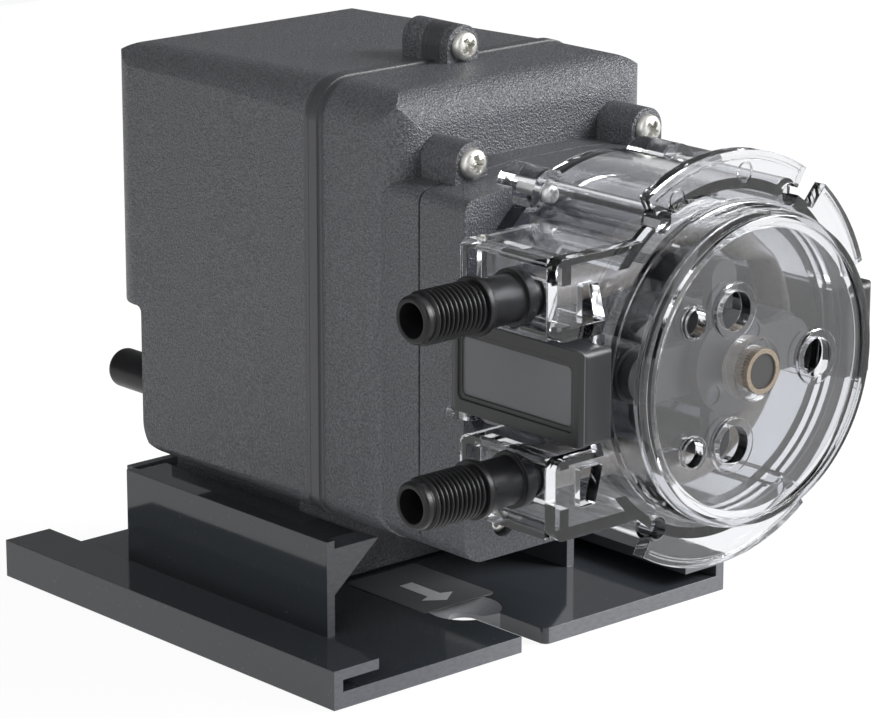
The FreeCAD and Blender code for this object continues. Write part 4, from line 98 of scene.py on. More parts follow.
class Desk(Tree):
    """One material's node tree, with short calls for the nodes that finishes share."""

    def __init__(self, name: str) -> None:
        """Start an empty tree.

        Args:
            name: The material's name.
        """
        self.material = bpy.data.materials.new(name)
        self.material.use_nodes = True
        super().__init__(self.material.node_tree)
        self.tree.nodes.clear()
        self.output = self.node("ShaderNodeOutputMaterial")
        self.place = self.node("ShaderNodeTexCoord").outputs["Object"]

    def feed(self, target: Socket, value: object) -> None:
        """Give a socket a link or a value.

        Args:
            target: The input socket.
            value: An output socket, a number or a colour.
        """
        if isinstance(value, Socket):
            self.link(value, target)
        else:
            target.default_value = value

    def math(self, operation: str, first: object, second: object = 0.5) -> Socket:
        """Add a maths node.

        Args:
            operation: The node's operation.
            first: The first operand.
            second: The second operand.

        Returns:
            The result.
        """
        made = self.node("ShaderNodeMath", operation=operation)
        self.feed(made.inputs[0], first)
        self.feed(made.inputs[1], second)
        return made.outputs[0]

    def stretched(self, scale: Sequence[float]) -> Socket:
        """Object coordinates drawn out along the axes."""
        made = self.node("ShaderNodeMapping")
        self.link(self.place, made.inputs["Vector"])
        made.inputs["Scale"].default_value = scale
        return made.outputs[0]

    def noise(self, scale: float, detail: float = 2.0, place: Socket | None = None) -> Socket:
        """Fine noise over the piece.

        Args:
            scale: Waves per metre.
            detail: Octaves.
            place: Coordinates, the object's own by default.

        Returns:
            The noise between 0 and 1.
        """
        made = self.node("ShaderNodeTexNoise")
        self.link(place or self.place, made.inputs["Vector"])
        made.inputs["Scale"].default_value = scale
        made.inputs["Detail"].default_value = detail
        return made.outputs["Fac"]

    def cells(self, scale: float) -> Socket:
        """Distance to the nearest of many small cells."""
        made = self.node("ShaderNodeTexVoronoi")
        self.link(self.place, made.inputs["Vector"])
        made.inputs["Scale"].default_value = scale
        return made.outputs["Distance"]

    def span(self, value: object, low: float, high: float, start: float = 0.0, end: float = 1.0) -> Socket:
        """Map a value from one range to another, clamped.

        Args:
            value: What is mapped.
            low: Input that gives start.
            high: Input that gives end.
            start: Output at low.
            end: Output at high.

        Returns:
            The mapped value.
        """
        made = self.node("ShaderNodeMapRange")
        for socket, number in zip(made.inputs, (value, low, high, start, end)):
            self.feed(socket, number)
        return made.outputs[0]

    def blend(self, share: object, first: object, second: object) -> Socket:
        """Mix two colours.

        Args:
            share: How much of the second.
            first: The colour at 0.
            second: The colour at 1.

        Returns:
            The mixed colour.
        """
        made = self.node("ShaderNodeMix", data_type="RGBA")
        self.feed(made.inputs["Factor"], share)
        self.feed(made.inputs[6], first)
        self.feed(made.inputs[7], second)
        return made.outputs[2]

    def layers(self, pitch: float, unevenness: float = 0.0) -> Socket:
        """Light and dark bands in turn along Y.

        Args:
            pitch: Thickness of one band, nearly, in millimetres.
            unevenness: How much the bands waver.

        Returns:
            The bands between 0 and 1.
        """
        made = self.node("ShaderNodeTexWave", bands_direction="Y")
        self.link(self.place, made.inputs["Vector"])
        made.inputs["Scale"].default_value = 1.0 / (pitch * MM * BANDS_AT_SCALE_ONE)
        made.inputs["Distortion"].default_value = unevenness
        return made.outputs["Fac"]

    def axes(self) -> tuple[Socket, ...]:
        """Object X, Y and Z, in metres."""
        made = self.node("ShaderNodeSeparateXYZ")
        self.link(self.place, made.inputs[0])
        return tuple(made.outputs)

    def inside(self, axis: Socket, centre: float, half: float, edge: float = 0.1) -> Socket:
        """Mask of a band along an axis, in millimetres.

        Args:
            axis: The coordinate.
            centre: The band's middle.
            half: Half the band's width.
            edge: How soft its border is.

        Returns:
            1 in the band, 0 outside it.
        """
        away = self.math("ABSOLUTE", self.math("SUBTRACT", axis, centre * MM))
        return self.span(away, (half - edge) * MM, (half + edge) * MM, 1.0, 0.0)

    def edges(self, radius: float) -> Socket:
        """Normal that rounds every edge by a radius in millimetres."""
        made = self.node("ShaderNodeBevel", samples=4)
        made.inputs["Radius"].default_value = radius * MM
        return made.outputs[0]

    def bump(self, height: Socket, depth: float, strength: float = 1.0,
             normal: Socket | None = None) -> Socket:
        """Normal with a fine relief.

        Args:
            height: The relief.
            depth: Its depth, in millimetres.
            strength: How much of it shows.
            normal: A normal to start from.

        Returns:
            The bumped normal.
        """
        made = self.node("ShaderNodeBump")
        made.inputs["Strength"].default_value = strength
        made.inputs["Distance"].default_value = depth * MM
        self.link(height, made.inputs["Height"])
        if normal is not None:
            self.link(normal, made.inputs["Normal"])
        return made.outputs[0]

    def shader(self, **values: object) -> bpy.types.ShaderNode:
        """Add the principled shader.

        Args:
            values: Inputs by name, with underscores for spaces.

        Returns:
            The shader node.
        """
        made = self.node("ShaderNodeBsdfPrincipled")
        for key, value in values.items():
            self.feed(made.inputs[key.replace("_", " ")], value)
        return made

    def close(self, surface: bpy.types.ShaderNode) -> bpy.types.Material:
        """Join the surface to the output and return the material."""
        self.link(surface.outputs[0], self.output.inputs["Surface"])
        return self.material


@dataclass(frozen=True)
class Finish:
    """A surface finish; each kind writes its own nodes."""

    name: str

    def material(self) -> bpy.types.Material:
        """The finish's material, made once."""
        return bpy.data.materials.get(self.name) or self.mixed(Desk(self.name))

    def mixed(self, desk: Desk) -> bpy.types.Material:
        """Write the nodes.

        Args:
            desk: The empty tree.

        Returns:
            The material.
        """
        raise NotImplementedError


@dataclass(frozen=True)
class SparkTexturedPlastic(Finish):
    """Charcoal moulding with a fine eroded grain."""

    colour: Colour = (0.108, 0.111, 0.124, 1.0)
    dark: Colour = (0.044, 0.045, 0.051, 1.0)
    grain: float = 1500.0
    depth: float = 0.42
    clouds: float = 14.0
    smooth_middle: float = -36.4
    smooth_half: float = 4.0

    def mixed(self, desk: Desk) -> bpy.types.Material:
        """Grainy relief that fades out along the smooth band at the case's joint."""
        _, along, _ = desk.axes()
        grainy = desk.math("SUBTRACT", 1.0, desk.inside(along, self.smooth_middle, self.smooth_half, 0.6))
        coarse = desk.noise(self.grain, 2.0)
        pits = desk.math("MULTIPLY", desk.cells(self.grain * 1.4), 0.5)
        relief = desk.math("MULTIPLY", desk.math("ADD", coarse, pits), grainy)
        broad = desk.noise(self.clouds, 2.0)
        light = desk.math("MULTIPLY", desk.span(coarse, 0.38, 0.64), grainy)
        shade = desk.blend(light, self.dark, self.colour)
        tint = desk.blend(desk.math("MULTIPLY", broad, 0.16), shade, self.colour)
        rough = desk.span(desk.noise(self.grain * 0.8), 0.3, 0.7, 0.27, 0.42)
        normal = desk.bump(relief, self.depth, 1.0, desk.edges(0.6))
        return desk.close(desk.shader(Base_Color=tint, Roughness=rough, Normal=normal))


@dataclass(frozen=True)
class SmoothBlackPlastic(Finish):
    """Moulded black plastic with a light sheen and faint flow waves."""

    colour: Colour = (0.006, 0.006, 0.007, 1.0)
    roughness: float = 0.33
    edge: float = 0.3
    gloss: float = 0.28
    wave_scale: float = 160.0
    speck_scale: float = 2600.0

    def mixed(self, desk: Desk) -> bpy.types.Material:
        """Slow waves in the surface and small changes of gloss."""
        waves = desk.noise(self.wave_scale, 1.0)
        specks = desk.noise(self.speck_scale, 2.0)
        pale = tuple(min(1.0, c * 1.5) for c in self.colour[:3]) + (1.0,)
        tint = desk.blend(desk.span(waves, 0.4, 0.7), self.colour, pale)
        rough = desk.span(specks, 0.3, 0.7, self.roughness - 0.05, self.roughness + 0.07)
        normal = desk.bump(waves, 0.05, 0.4, desk.edges(self.edge))
        return desk.close(desk.shader(Base_Color=tint, Roughness=rough, Normal=normal,
                                      Specular_IOR_Level=self.gloss))


@dataclass(frozen=True)
class LatchPlastic(Finish):
    """Satin grey latch with a lighter, finely matted panel."""

    colour: Colour = (0.012, 0.0125, 0.0135, 1.0)
    panel: Colour = (0.096, 0.098, 0.106, 1.0)
    panel_cloud: Colour = (0.09, 0.091, 0.1, 1.0)
    panel_face: float = 54.2
    panel_depth: float = 0.12
    matting: float = 1900.0
    clouds: float = 90.0

    def mixed(self, desk: Desk) -> bpy.types.Material:
        """A thin band of places along X picks out the panel's face."""
        across, _, _ = desk.axes()
        away = desk.math("ABSOLUTE", across)
        band = desk.inside(away, self.panel_face, self.panel_depth, 0.03)
        matt = desk.noise(self.matting, 3.0)
        cloudy = desk.noise(self.clouds, 2.0)
        pale = desk.blend(desk.span(cloudy, 0.35, 0.7, 0.0, 0.25), self.panel, self.panel_cloud)
        tint = desk.blend(band, self.colour, pale)
        rough = desk.span(matt, 0.3, 0.7, 0.34, 0.46)
        normal = desk.bump(matt, 0.03, 0.6, desk.edges(0.5))
        return desk.close(desk.shader(Base_Color=tint, Roughness=rough, Normal=normal))


@dataclass(frozen=True)
class SawnVinyl(Finish):
    """Dark grey vinyl extrusion: glossy faces with specks, pale sawn ends and a bare countersink."""

    face: Colour = (0.038, 0.043, 0.049, 1.0)
    speck: Colour = (0.1, 0.105, 0.115, 1.0)
    cloudy: Colour = (0.042, 0.045, 0.05, 1.0)
    sawn: Colour = (0.1, 0.105, 0.115, 1.0)
    saw_mark: Colour = (0.17, 0.175, 0.185, 1.0)
    bare_sink: Colour = (0.34, 0.35, 0.37, 1.0)
    end: float = 76.2
    upright_middle: float = 5.8
    upright_half: float = 46.4
    upright_foot: float = 4.9
    upright_side: float = 48.5
    countersink_x: float = -1.6
    countersink_y: float = -46.8
    countersink_radius: float = 11.4
    plate_top: float = 4.7
    saw_scale: float = 420.0
    speck_scale: float = 700.0
    cloud_scale: float = 22.0

    def mixed(self, desk: Desk) -> bpy.types.Material:
        """Sawn ends and countersink by place, saw marks by stretched noise, specks and clouds elsewhere."""
        x, y, z = desk.axes()
        along = desk.math("ABSOLUTE", y)
        plate_end = desk.span(along, (self.end - 0.15) * MM, (self.end - 0.05) * MM)
        from_middle = desk.math("ABSOLUTE", desk.math("SUBTRACT", y, self.upright_middle * MM))
        upright_end = desk.span(from_middle, (self.upright_half - 0.12) * MM, (self.upright_half - 0.04) * MM)
        above_plate = desk.span(z, self.upright_foot * MM, (self.upright_foot + 0.1) * MM)
        upright_end = desk.math("MULTIPLY", upright_end, above_plate)
        near = desk.math("LESS_THAN", desk.math("ABSOLUTE", x), self.upright_side * MM)
        beyond = desk.math("LESS_THAN", from_middle, (self.upright_half + 0.2) * MM)
        upright_end = desk.math("MULTIPLY", upright_end, desk.math("MULTIPLY", near, beyond))
        flat = desk.node("ShaderNodeCombineXYZ")
        desk.link(desk.math("SUBTRACT", x, self.countersink_x * MM), flat.inputs[0])
        desk.link(desk.math("SUBTRACT", y, self.countersink_y * MM), flat.inputs[1])
        reach = desk.node("ShaderNodeVectorMath", operation="LENGTH")
        desk.link(flat.outputs[0], reach.inputs[0])
        in_reach = desk.math("LESS_THAN", reach.outputs["Value"], self.countersink_radius * MM)
        sink = desk.math("MULTIPLY", in_reach, desk.math("LESS_THAN", z, self.plate_top * MM))
        cut = desk.math("MAXIMUM", desk.math("MAXIMUM", plate_end, upright_end), sink)
        saw = desk.noise(self.saw_scale, 2.0, desk.stretched((1.0, 1.0, 3.0)))
        cut_tint = desk.blend(desk.span(saw, 0.3, 0.75, 0.0, 0.6), self.sawn, self.saw_mark)
        cut_tint = desk.blend(desk.math("MULTIPLY", sink, 0.7), cut_tint, self.bare_sink)
        specks = desk.noise(self.speck_scale, 2.0)
        cloud = desk.noise(self.cloud_scale, 2.0)
        face = desk.blend(desk.span(specks, 0.68, 0.74, 0.0, 0.5), self.face, self.speck)
        face = desk.blend(desk.span(cloud, 0.4, 0.75, 0.0, 0.3), face, self.cloudy)
        gloss = desk.span(cloud, 0.35, 0.75, 0.06, 0.12)
        rough = desk.math("MAXIMUM", gloss, desk.math("MULTIPLY", cut, 0.4))
        normal = desk.bump(cloud, 0.1, 0.2, desk.edges(0.35))
        tint = desk.blend(cut, face, cut_tint)
        return desk.close(desk.shader(Base_Color=tint, Roughness=rough, Normal=normal))


@dataclass(frozen=True)
class LabelFilm(Finish):
    """Glossy film label: near-black field inside a clear border."""

    border: Colour = (0.075, 0.08, 0.088, 1.0)
    field: Colour = (0.018, 0.02, 0.024, 1.0)
    half_width: float = 13.1
    middle_y: float = -25.7
    half_length: float = 17.1
    wave_scale: float = 70.0

    def mixed(self, desk: Desk) -> bpy.types.Material:
        """The dark field ends a little inside the film's edge."""
        x, y, _ = desk.axes()
        field_mask = desk.math("MULTIPLY", desk.inside(x, 0.0, self.half_width),
                               desk.inside(y, self.middle_y, self.half_length))
        tint = desk.blend(field_mask, self.border, self.field)
        wave = desk.noise(self.wave_scale, 2.0)
        return desk.close(desk.shader(Base_Color=tint, Roughness=desk.span(wave, 0.3, 0.7, 0.1, 0.2),
                                      Normal=desk.bump(wave, 0.12, 0.4), Coat_Weight=0.3))


@dataclass(frozen=True)
class PrintInk(Finish):
    """White screen-printed ink, a little worn."""

    colour: Colour = (0.56, 0.58, 0.6, 1.0)
    thin: Colour = (0.3, 0.31, 0.33, 1.0)
    wear_scale: float = 900.0

    def mixed(self, desk: Desk) -> bpy.types.Material:
        """Specks where the ink is thin."""
        wear = desk.noise(self.wear_scale, 4.0)
        tint = desk.blend(desk.span(wear, 0.6, 0.75, 0.0, 0.6), self.colour, self.thin)
        return desk.close(desk.shader(Base_Color=tint, Roughness=desk.span(wear, 0.3, 0.7, 0.3, 0.5)))


@dataclass(frozen=True)
class ClearMoulding(Finish):
    """Clear moulded plastic with a light smoky tint and faint flow lines."""

    tint: Colour = (0.85, 0.86, 0.885, 1.0)
    through: Colour = (0.82, 0.83, 0.86, 1.0)
    roughness: float = 0.015
    refraction: float = 1.56
    flow_scale: float = 45.0
    streak_scale: float = 520.0

    def mixed(self, desk: Desk) -> bpy.types.Material:
        """Clear shader; light passes straight through it to what it shades."""
        flow = desk.noise(self.flow_scale, 2.0, desk.stretched((1.0, 0.4, 1.0)))
        streak = desk.noise(self.streak_scale, 2.0)
        deeper = tuple(c * 0.94 for c in self.tint[:3]) + (1.0,)
        tint = desk.blend(desk.span(flow, 0.35, 0.7), self.tint, deeper)
        rough = desk.span(streak, 0.4, 0.75, self.roughness, self.roughness + 0.05)
        normal = desk.bump(flow, 0.25, 0.35, desk.edges(0.35))
        clear = desk.shader(Base_Color=tint, Roughness=rough, Normal=normal, IOR=self.refraction,
                            Transmission_Weight=1.0)
        light = desk.node("ShaderNodeLightPath")
        passing = desk.node("ShaderNodeBsdfTransparent")
        passing.inputs["Color"].default_value = self.through
        mixed = desk.node("ShaderNodeMixShader")
        unseen = desk.math("MAXIMUM", light.outputs["Is Shadow Ray"], light.outputs["Is Diffuse Ray"])
        desk.link(unseen, mixed.inputs[0])
        desk.link(clear.outputs[0], mixed.inputs[1])
        desk.link(passing.outputs[0], mixed.inputs[2])
        return desk.close(mixed)


@dataclass(frozen=True)
class WorkedMetal(Finish):
    """Metal with tool marks drawn along one direction and small stains."""

    colour: Colour = (0.6, 0.59, 0.57, 1.0)
    roughness: float = 0.26
    marks: tuple[float, float, float] = (1.0, 12.0, 1.0)
    scale: float = 500.0
    stain_scale: float = 180.0

    def mixed(self, desk: Desk) -> bpy.types.Material:
        """Tool marks by stretched noise, stains by slow noise."""
        marks = desk.noise(self.scale, 3.0, desk.stretched(self.marks))
        stain = desk.noise(self.stain_scale, 3.0)
        dark = tuple(c * 0.62 for c in self.colour[:3]) + (1.0,)
        tint = desk.blend(desk.span(stain, 0.45, 0.75), self.colour, dark)
        rough = desk.span(marks, 0.25, 0.75, self.roughness - 0.08, self.roughness + 0.12)
        normal = desk.bump(marks, 0.02, 0.5, desk.edges(0.12))
        return desk.close(desk.shader(Base_Color=tint, Roughness=rough, Normal=normal, Metallic=1.0))


@dataclass(frozen=True)
class WoundWire(Finish):
    """Varnished winding wire laid side by side."""

    colour: Colour = (0.5, 0.22, 0.09, 1.0)
    varnish: Colour = (0.14, 0.05, 0.02, 1.0)
    pitch: float = 0.6
    waver: float = 0.6
    gloss_scale: float = 400.0

    def mixed(self, desk: Desk) -> bpy.types.Material:
        """Wire turns as a fine wave with varnish between."""
        turns = desk.layers(self.pitch, self.waver)
        tint = desk.blend(turns, self.varnish, self.colour)
        rough = desk.span(desk.noise(self.gloss_scale), 0.3, 0.7, 0.25, 0.45)
        normal = desk.bump(turns, 0.2, 0.7)
        return desk.close(desk.shader(Base_Color=tint, Roughness=rough, Normal=normal, Metallic=0.6,
                                      Coat_Weight=0.5))


@dataclass(frozen=True)
class Laminations(Finish):
    """Stacked electrical sheet, seen as fine layers."""

    seam: Colour = (0.11, 0.11, 0.12, 1.0)
    sheet: Colour = (0.3, 0.3, 0.31, 1.0)
    rust: Colour = (0.2, 0.1, 0.05, 1.0)
    pitch: float = 0.65
    spot_scale: float = 240.0

    def mixed(self, desk: Desk) -> bpy.types.Material:
        """Layers along the stack with spots of rust."""
        sheets = desk.layers(self.pitch)
        spots = desk.noise(self.spot_scale, 4.0)
        steel = desk.blend(sheets, self.seam, self.sheet)
        tint = desk.blend(desk.span(spots, 0.58, 0.72, 0.0, 0.5), steel, self.rust)
        return desk.close(desk.shader(Base_Color=tint, Roughness=desk.span(spots, 0.3, 0.7, 0.4, 0.6),
                                      Normal=desk.bump(sheets, 0.1, 0.6), Metallic=0.8))


@dataclass(frozen=True)
class FilledResin(Finish):
    """Machined resin or moulded rubber with fine filler specks."""

    colour: Colour = (0.3, 0.17, 0.08, 1.0)
    speck: Colour = (0.16, 0.08, 0.035, 1.0)
    roughness: float = 0.42
    grain: float = 1300.0

    def mixed(self, desk: Desk) -> bpy.types.Material:
        """Specks and a fine matt relief."""
        specks = desk.noise(self.grain, 4.0)
        tint = desk.blend(desk.span(specks, 0.42, 0.66), self.colour, self.speck)
        rough = desk.span(specks, 0.3, 0.7, self.roughness - 0.06, self.roughness + 0.1)
        normal = desk.bump(specks, 0.03, 0.6, desk.edges(0.2))
        return desk.close(desk.shader(Base_Color=tint, Roughness=rough, Normal=normal))


# The roller carrier's screws have the slot of the bright ones.
BLACKENED = WorkedMetal("blackened_steel", (0.1, 0.1, 0.11, 1.0), 0.36)
FINISHES: dict[str, Finish] = {
    "bracket_pvc": SawnVinyl("sawn_vinyl"),
    "label_film": LabelFilm("label_film"),
    "case_plastic": SparkTexturedPlastic("spark_textured_case"),
    "black_fitting_plastic": SmoothBlackPlastic("gloss_black_fitting"),
    "latch_plastic": LatchPlastic("satin_latch"),
    "clear_plastic": ClearMoulding("clear_moulding"),
    "bushing_plastic": FilledResin("tan_bushing", (0.22, 0.18, 0.135, 1.0), (0.16, 0.125, 0.09, 1.0), 0.36),
    "roller_plastic": SmoothBlackPlastic("roller_plastic", (0.15, 0.156, 0.17, 1.0), 0.26),
    "tube_rubber": FilledResin("pump_tube_rubber", (0.17, 0.155, 0.13, 1.0), (0.13, 0.115, 0.095, 1.0),
                               0.35, 700.0),
    "seal_rubber": FilledResin("seal_rubber", (0.018, 0.018, 0.019, 1.0), (0.03, 0.03, 0.032, 1.0),
                               0.55, 900.0),
    "screw_steel": WorkedMetal("screw_steel", (0.24, 0.23, 0.212, 1.0), 0.24),
    "plate_steel": WorkedMetal("plate_steel", (0.5, 0.5, 0.5, 1.0), 0.34, (12.0, 1.0, 1.0)),
    "shaft_steel": WorkedMetal("shaft_steel", (0.68, 0.68, 0.68, 1.0), 0.16, (1.0, 14.0, 1.0), 700.0),
    "lamination_steel": Laminations("laminations"),
    "coil_copper": WoundWire("coil_wire"),
    "gear_phenolic": FilledResin("gear_resin"),
    "bronze": WorkedMetal("sintered_bronze", (0.56, 0.38, 0.18, 1.0), 0.36),
}


def put(name: str, data: bpy.types.ID) -> bpy.types.Object:
    """Add an object to the scene.

    Args:
        name: The object's name.
        data: Its mesh, lamp or lens.

    Returns:
        The object.
    """
    made = bpy.data.objects.new(name, data)
    bpy.context.scene.collection.objects.link(made)
    return made


def finished(form: bmesh.types.BMesh, name: str) -> bpy.types.Mesh:
    """Turn a mesh being built into a plain one.

    Args:
        form: The mesh being built; it is freed.
        name: The plain mesh's name.

    Returns:
        The plain mesh.
    """
    mesh = bpy.data.meshes.new(name)
    form.to_mesh(mesh)
    form.free()
    return mesh


@dataclass
class Piece:
    """A dressed piece of the object, from a mesh in millimetres."""

    name: str
    body: str
    slot: str
    stands_for: tuple[str, ...] = ()
    finish: Finish | None = None
    sharp_above: float = 32.0

    def from_mesh(self, mesh: bpy.types.Mesh) -> None:
        """Scale, shade, dress and mount a mesh.

        Args:
            mesh: The shape, in millimetres.
        """
        mesh.transform(Matrix.Diagonal((MM, MM, MM, 1.0)))
        form = bmesh.new()
        form.from_mesh(mesh)
        bmesh.ops.remove_doubles(form, verts=form.verts, dist=1e-7)
        bmesh.ops.recalc_face_normals(form, faces=form.faces)
        limit = math.radians(self.sharp_above)
        for edge in form.edges:
            edge.smooth = len(edge.link_faces) == 2 and edge.calc_face_angle(math.pi) < limit
        for face in form.faces:
            face.smooth = True
            face.material_index = 0
        form.to_mesh(mesh)
        form.free()
        made = put(self.name, mesh)
        mesh.materials.clear()
        mesh.materials.append((self.finish or FINISHES[self.slot]).material())
        if self.stands_for:
            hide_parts(*self.stands_for)
        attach(made, self.body)
        LOG.info("%s: %d faces on %s", self.name, len(mesh.polygons), self.body)


@dataclass
class Turned:
    """A body of revolution from a closed outline of (radius, length) points."""

    outline: Sequence[tuple[float, float]]
    sides: int = 96

    def mesh(self, name: str, place: Matrix) -> bpy.types.Mesh:
        """Turn the outline about +Z, then set it in place.

        Args:
            name: The mesh's name.
            place: Where the shape goes, in millimetres.

        Returns:
            The mesh, in millimetres.
        """
        form = bmesh.new()
        rings = []
        for step in range(self.sides):
            turn = 2 * math.pi * step / self.sides
            rings.append([form.verts.new(place @ Vector((r * math.cos(turn), r * math.sin(turn), a)))
                          for r, a in self.outline])
        count = len(self.outline)
        for step, ring in enumerate(rings):
            following = rings[(step + 1) % self.sides]
            for index in range(count):
                after = (index + 1) % count
                form.faces.new((ring[index], following[index], following[after], ring[after]))
        bmesh.ops.remove_doubles(form, verts=form.verts, dist=1e-5)
        bmesh.ops.dissolve_degenerate(form, edges=form.edges, dist=1e-5)
        return finished(form, name)


def softened(outline: Sequence[tuple[float, float]], radius: float,
             sections: int = 3) -> list[tuple[float, float]]:
    """Round the corners of an outline.

    Args:
        outline: Closed outline of (radius, length) points.
        radius: Rounding of each corner that has room for it.
        sections: Pieces of each rounding.

    Returns:
        The rounded outline.
    """
    made: list[tuple[float, float]] = []
    count = len(outline)
    for index, (r, a) in enumerate(outline):
        here = Vector((r, a))
        back = Vector(outline[index - 1]) - here
        ahead = Vector(outline[(index + 1) % count]) - here
        reach = min(radius, back.length * 0.45, ahead.length * 0.45)
        if reach < 1e-4 or back.angle(ahead) > math.radians(170):
            made.append((r, a))
            continue
        start, end = here + back.normalized() * reach, here + ahead.normalized() * reach
        for step in range(sections + 1):
            t = step / sections
            point = start * (1 - t) ** 2 + here * (2 * t * (1 - t)) + end * t * t
            made.append((point.x, point.y))
    return made


class Pattern(Tree):
    """A geometry node tree with named inputs, applied to a host mesh and kept as plain mesh."""

    def __init__(self, name: str) -> None:
        """Start the tree with its geometry in and out.

        Args:
            name: The tree's name.
        """
        super().__init__(bpy.data.node_groups.new(name, "GeometryNodeTree"))
        self.kinds: dict[str, str] = {}
        self.add_input("Geometry", "NodeSocketGeometry")
        self.tree.interface.new_socket("Geometry", in_out="OUTPUT", socket_type="NodeSocketGeometry")
        self.start = self.node("NodeGroupInput")
        self.end = self.node("NodeGroupOutput")

    def add_input(self, name: str, kind: str) -> None:
        """Add a named input to the tree."""
        self.kinds[name] = self.tree.interface.new_socket(name, in_out="INPUT", socket_type=kind).identifier

    def given(self, name: str) -> Socket:
        """The tree's input of that name, as a source."""
        return self.start.outputs[name]

    def close(self, geometry: Socket) -> None:
        """End the tree in Realize Instances and Set Material."""
        realized = self.node("GeometryNodeRealizeInstances")
        painted = self.node("GeometryNodeSetMaterial")
        self.link(geometry, realized.inputs["Geometry"])
        self.link(realized.outputs["Geometry"], painted.inputs["Geometry"])
        self.link(self.given("Finish"), painted.inputs["Material"])
        self.link(painted.outputs["Geometry"], self.end.inputs["Geometry"])

    def plain_mesh(self, host: bpy.types.Object, values: dict[str, object]) -> bpy.types.Mesh:
        """Evaluate the tree on a host object and keep the result.

        Args:
            host: The object with the points or the base mesh; it is removed.
            values: Inputs by name.

        Returns:
            The evaluated mesh.
        """
        live = host.modifiers.new(self.tree.name, "NODES")
        live.node_group = self.tree
        for name, value in values.items():
            live[self.kinds[name]] = value
        bpy.context.view_layer.update()
        seen = host.evaluated_get(bpy.context.evaluated_depsgraph_get())
        mesh = bpy.data.meshes.new_from_object(seen)
        host.modifiers.remove(live)
        bpy.data.objects.remove(host)
        return mesh


def point_host(name: str, points: Sequence[Vector], facings: Sequence[Euler],
               scales: Sequence[float]) -> bpy.types.Object:
    """A mesh of loose points that carries a rotation and a size for each.

    Args:
        name: The host's name.
        points: Places, in millimetres.
        facings: Rotation at each place.
        scales: Size at each place.

    Returns:
        The host object.
    """
    mesh = bpy.data.meshes.new(name)
    mesh.from_pydata([tuple(p) for p in points], [], [])
    mesh.attributes.new("facing", "FLOAT_VECTOR", "POINT")
    mesh.attributes.new("size", "FLOAT", "POINT")
    for index, (turn, scale) in enumerate(zip(facings, scales)):
        mesh.attributes["facing"].data[index].vector = tuple(turn)
        mesh.attributes["size"].data[index].value = scale
    return put(name, mesh)


def repeating_pattern() -> Pattern:
    """Tree that sets one part on every point of its host, turned and sized by the point.

    Returns:
        The finished tree.
    """
    made = Pattern("part_on_points")
    made.add_input("Part", "NodeSocketObject")
    made.add_input("Finish", "NodeSocketMaterial")
    made.add_input("Size", "NodeSocketFloat")
    part = made.node("GeometryNodeObjectInfo")
    placed = made.node("GeometryNodeInstanceOnPoints")
    facing = made.node("GeometryNodeInputNamedAttribute", data_type="FLOAT_VECTOR")
    facing.inputs["Name"].default_value = "facing"
    size = made.node("GeometryNodeInputNamedAttribute", data_type="FLOAT")
    size.inputs["Name"].default_value = "size"
    whole = made.node("ShaderNodeMath", operation="MULTIPLY")
    made.link(made.given("Part"), part.inputs["Object"])
    made.link(made.given("Geometry"), placed.inputs["Points"])
    made.link(part.outputs["Geometry"], placed.inputs["Instance"])
    made.link(facing.outputs["Attribute"], placed.inputs["Rotation"])
    made.link(size.outputs["Attribute"], whole.inputs[0])
    made.link(made.given("Size"), whole.inputs[1])
    made.link(whole.outputs[0], placed.inputs["Scale"])
    made.close(placed.outputs["Instances"])
    return made


def thread_pattern(steps: int = 72) -> Pattern:
    """Tree that winds a thread of a given profile round +Z.

    Args:
        steps: Points on each turn.

    Returns:
        The finished tree.
    """
    made = Pattern("wound_thread")
    made.add_input("Finish", "NodeSocketMaterial")
    for name in ("Root radius", "Length", "Pitch", "Ridge height", "Ridge foot", "Ridge crest"):
        made.add_input(name, "NodeSocketFloat")
    turns = made.node("ShaderNodeMath", operation="DIVIDE")
    made.link(made.given("Length"), turns.inputs[0])
    made.link(made.given("Pitch"), turns.inputs[1])
    helix = made.node("GeometryNodeCurveSpiral")
    helix.inputs["Resolution"].default_value = steps
    made.link(turns.outputs[0], helix.inputs["Rotations"])
    made.link(made.given("Root radius"), helix.inputs["Start Radius"])
    made.link(made.given("Root radius"), helix.inputs["End Radius"])
    made.link(made.given("Length"), helix.inputs["Height"])
    upright = made.node("GeometryNodeSetCurveNormal")
    upright.mode = "Z_UP"
    profile = made.node("GeometryNodeCurvePrimitiveQuadrilateral", mode="TRAPEZOID")
    made.link(made.given("Ridge foot"), profile.inputs["Bottom Width"])
    made.link(made.given("Ridge crest"), profile.inputs["Top Width"])
    made.link(made.given("Ridge height"), profile.inputs["Height"])
    profile.inputs["Offset"].default_value = 0.0
    turned = made.node("GeometryNodeTransform")
    made.link(profile.outputs["Curve"], turned.inputs["Geometry"])
    turned.inputs["Rotation"].default_value = (0.0, 0.0, math.pi / 2)
    swept = made.node("GeometryNodeCurveToMesh")
    swept.inputs["Fill Caps"].default_value = True
    made.link(helix.outputs["Curve"], upright.inputs["Curve"])
    made.link(upright.outputs["Curve"], swept.inputs["Curve"])
    made.link(turned.outputs["Geometry"], swept.inputs["Profile Curve"])
    made.close(swept.outputs["Mesh"])
    return made


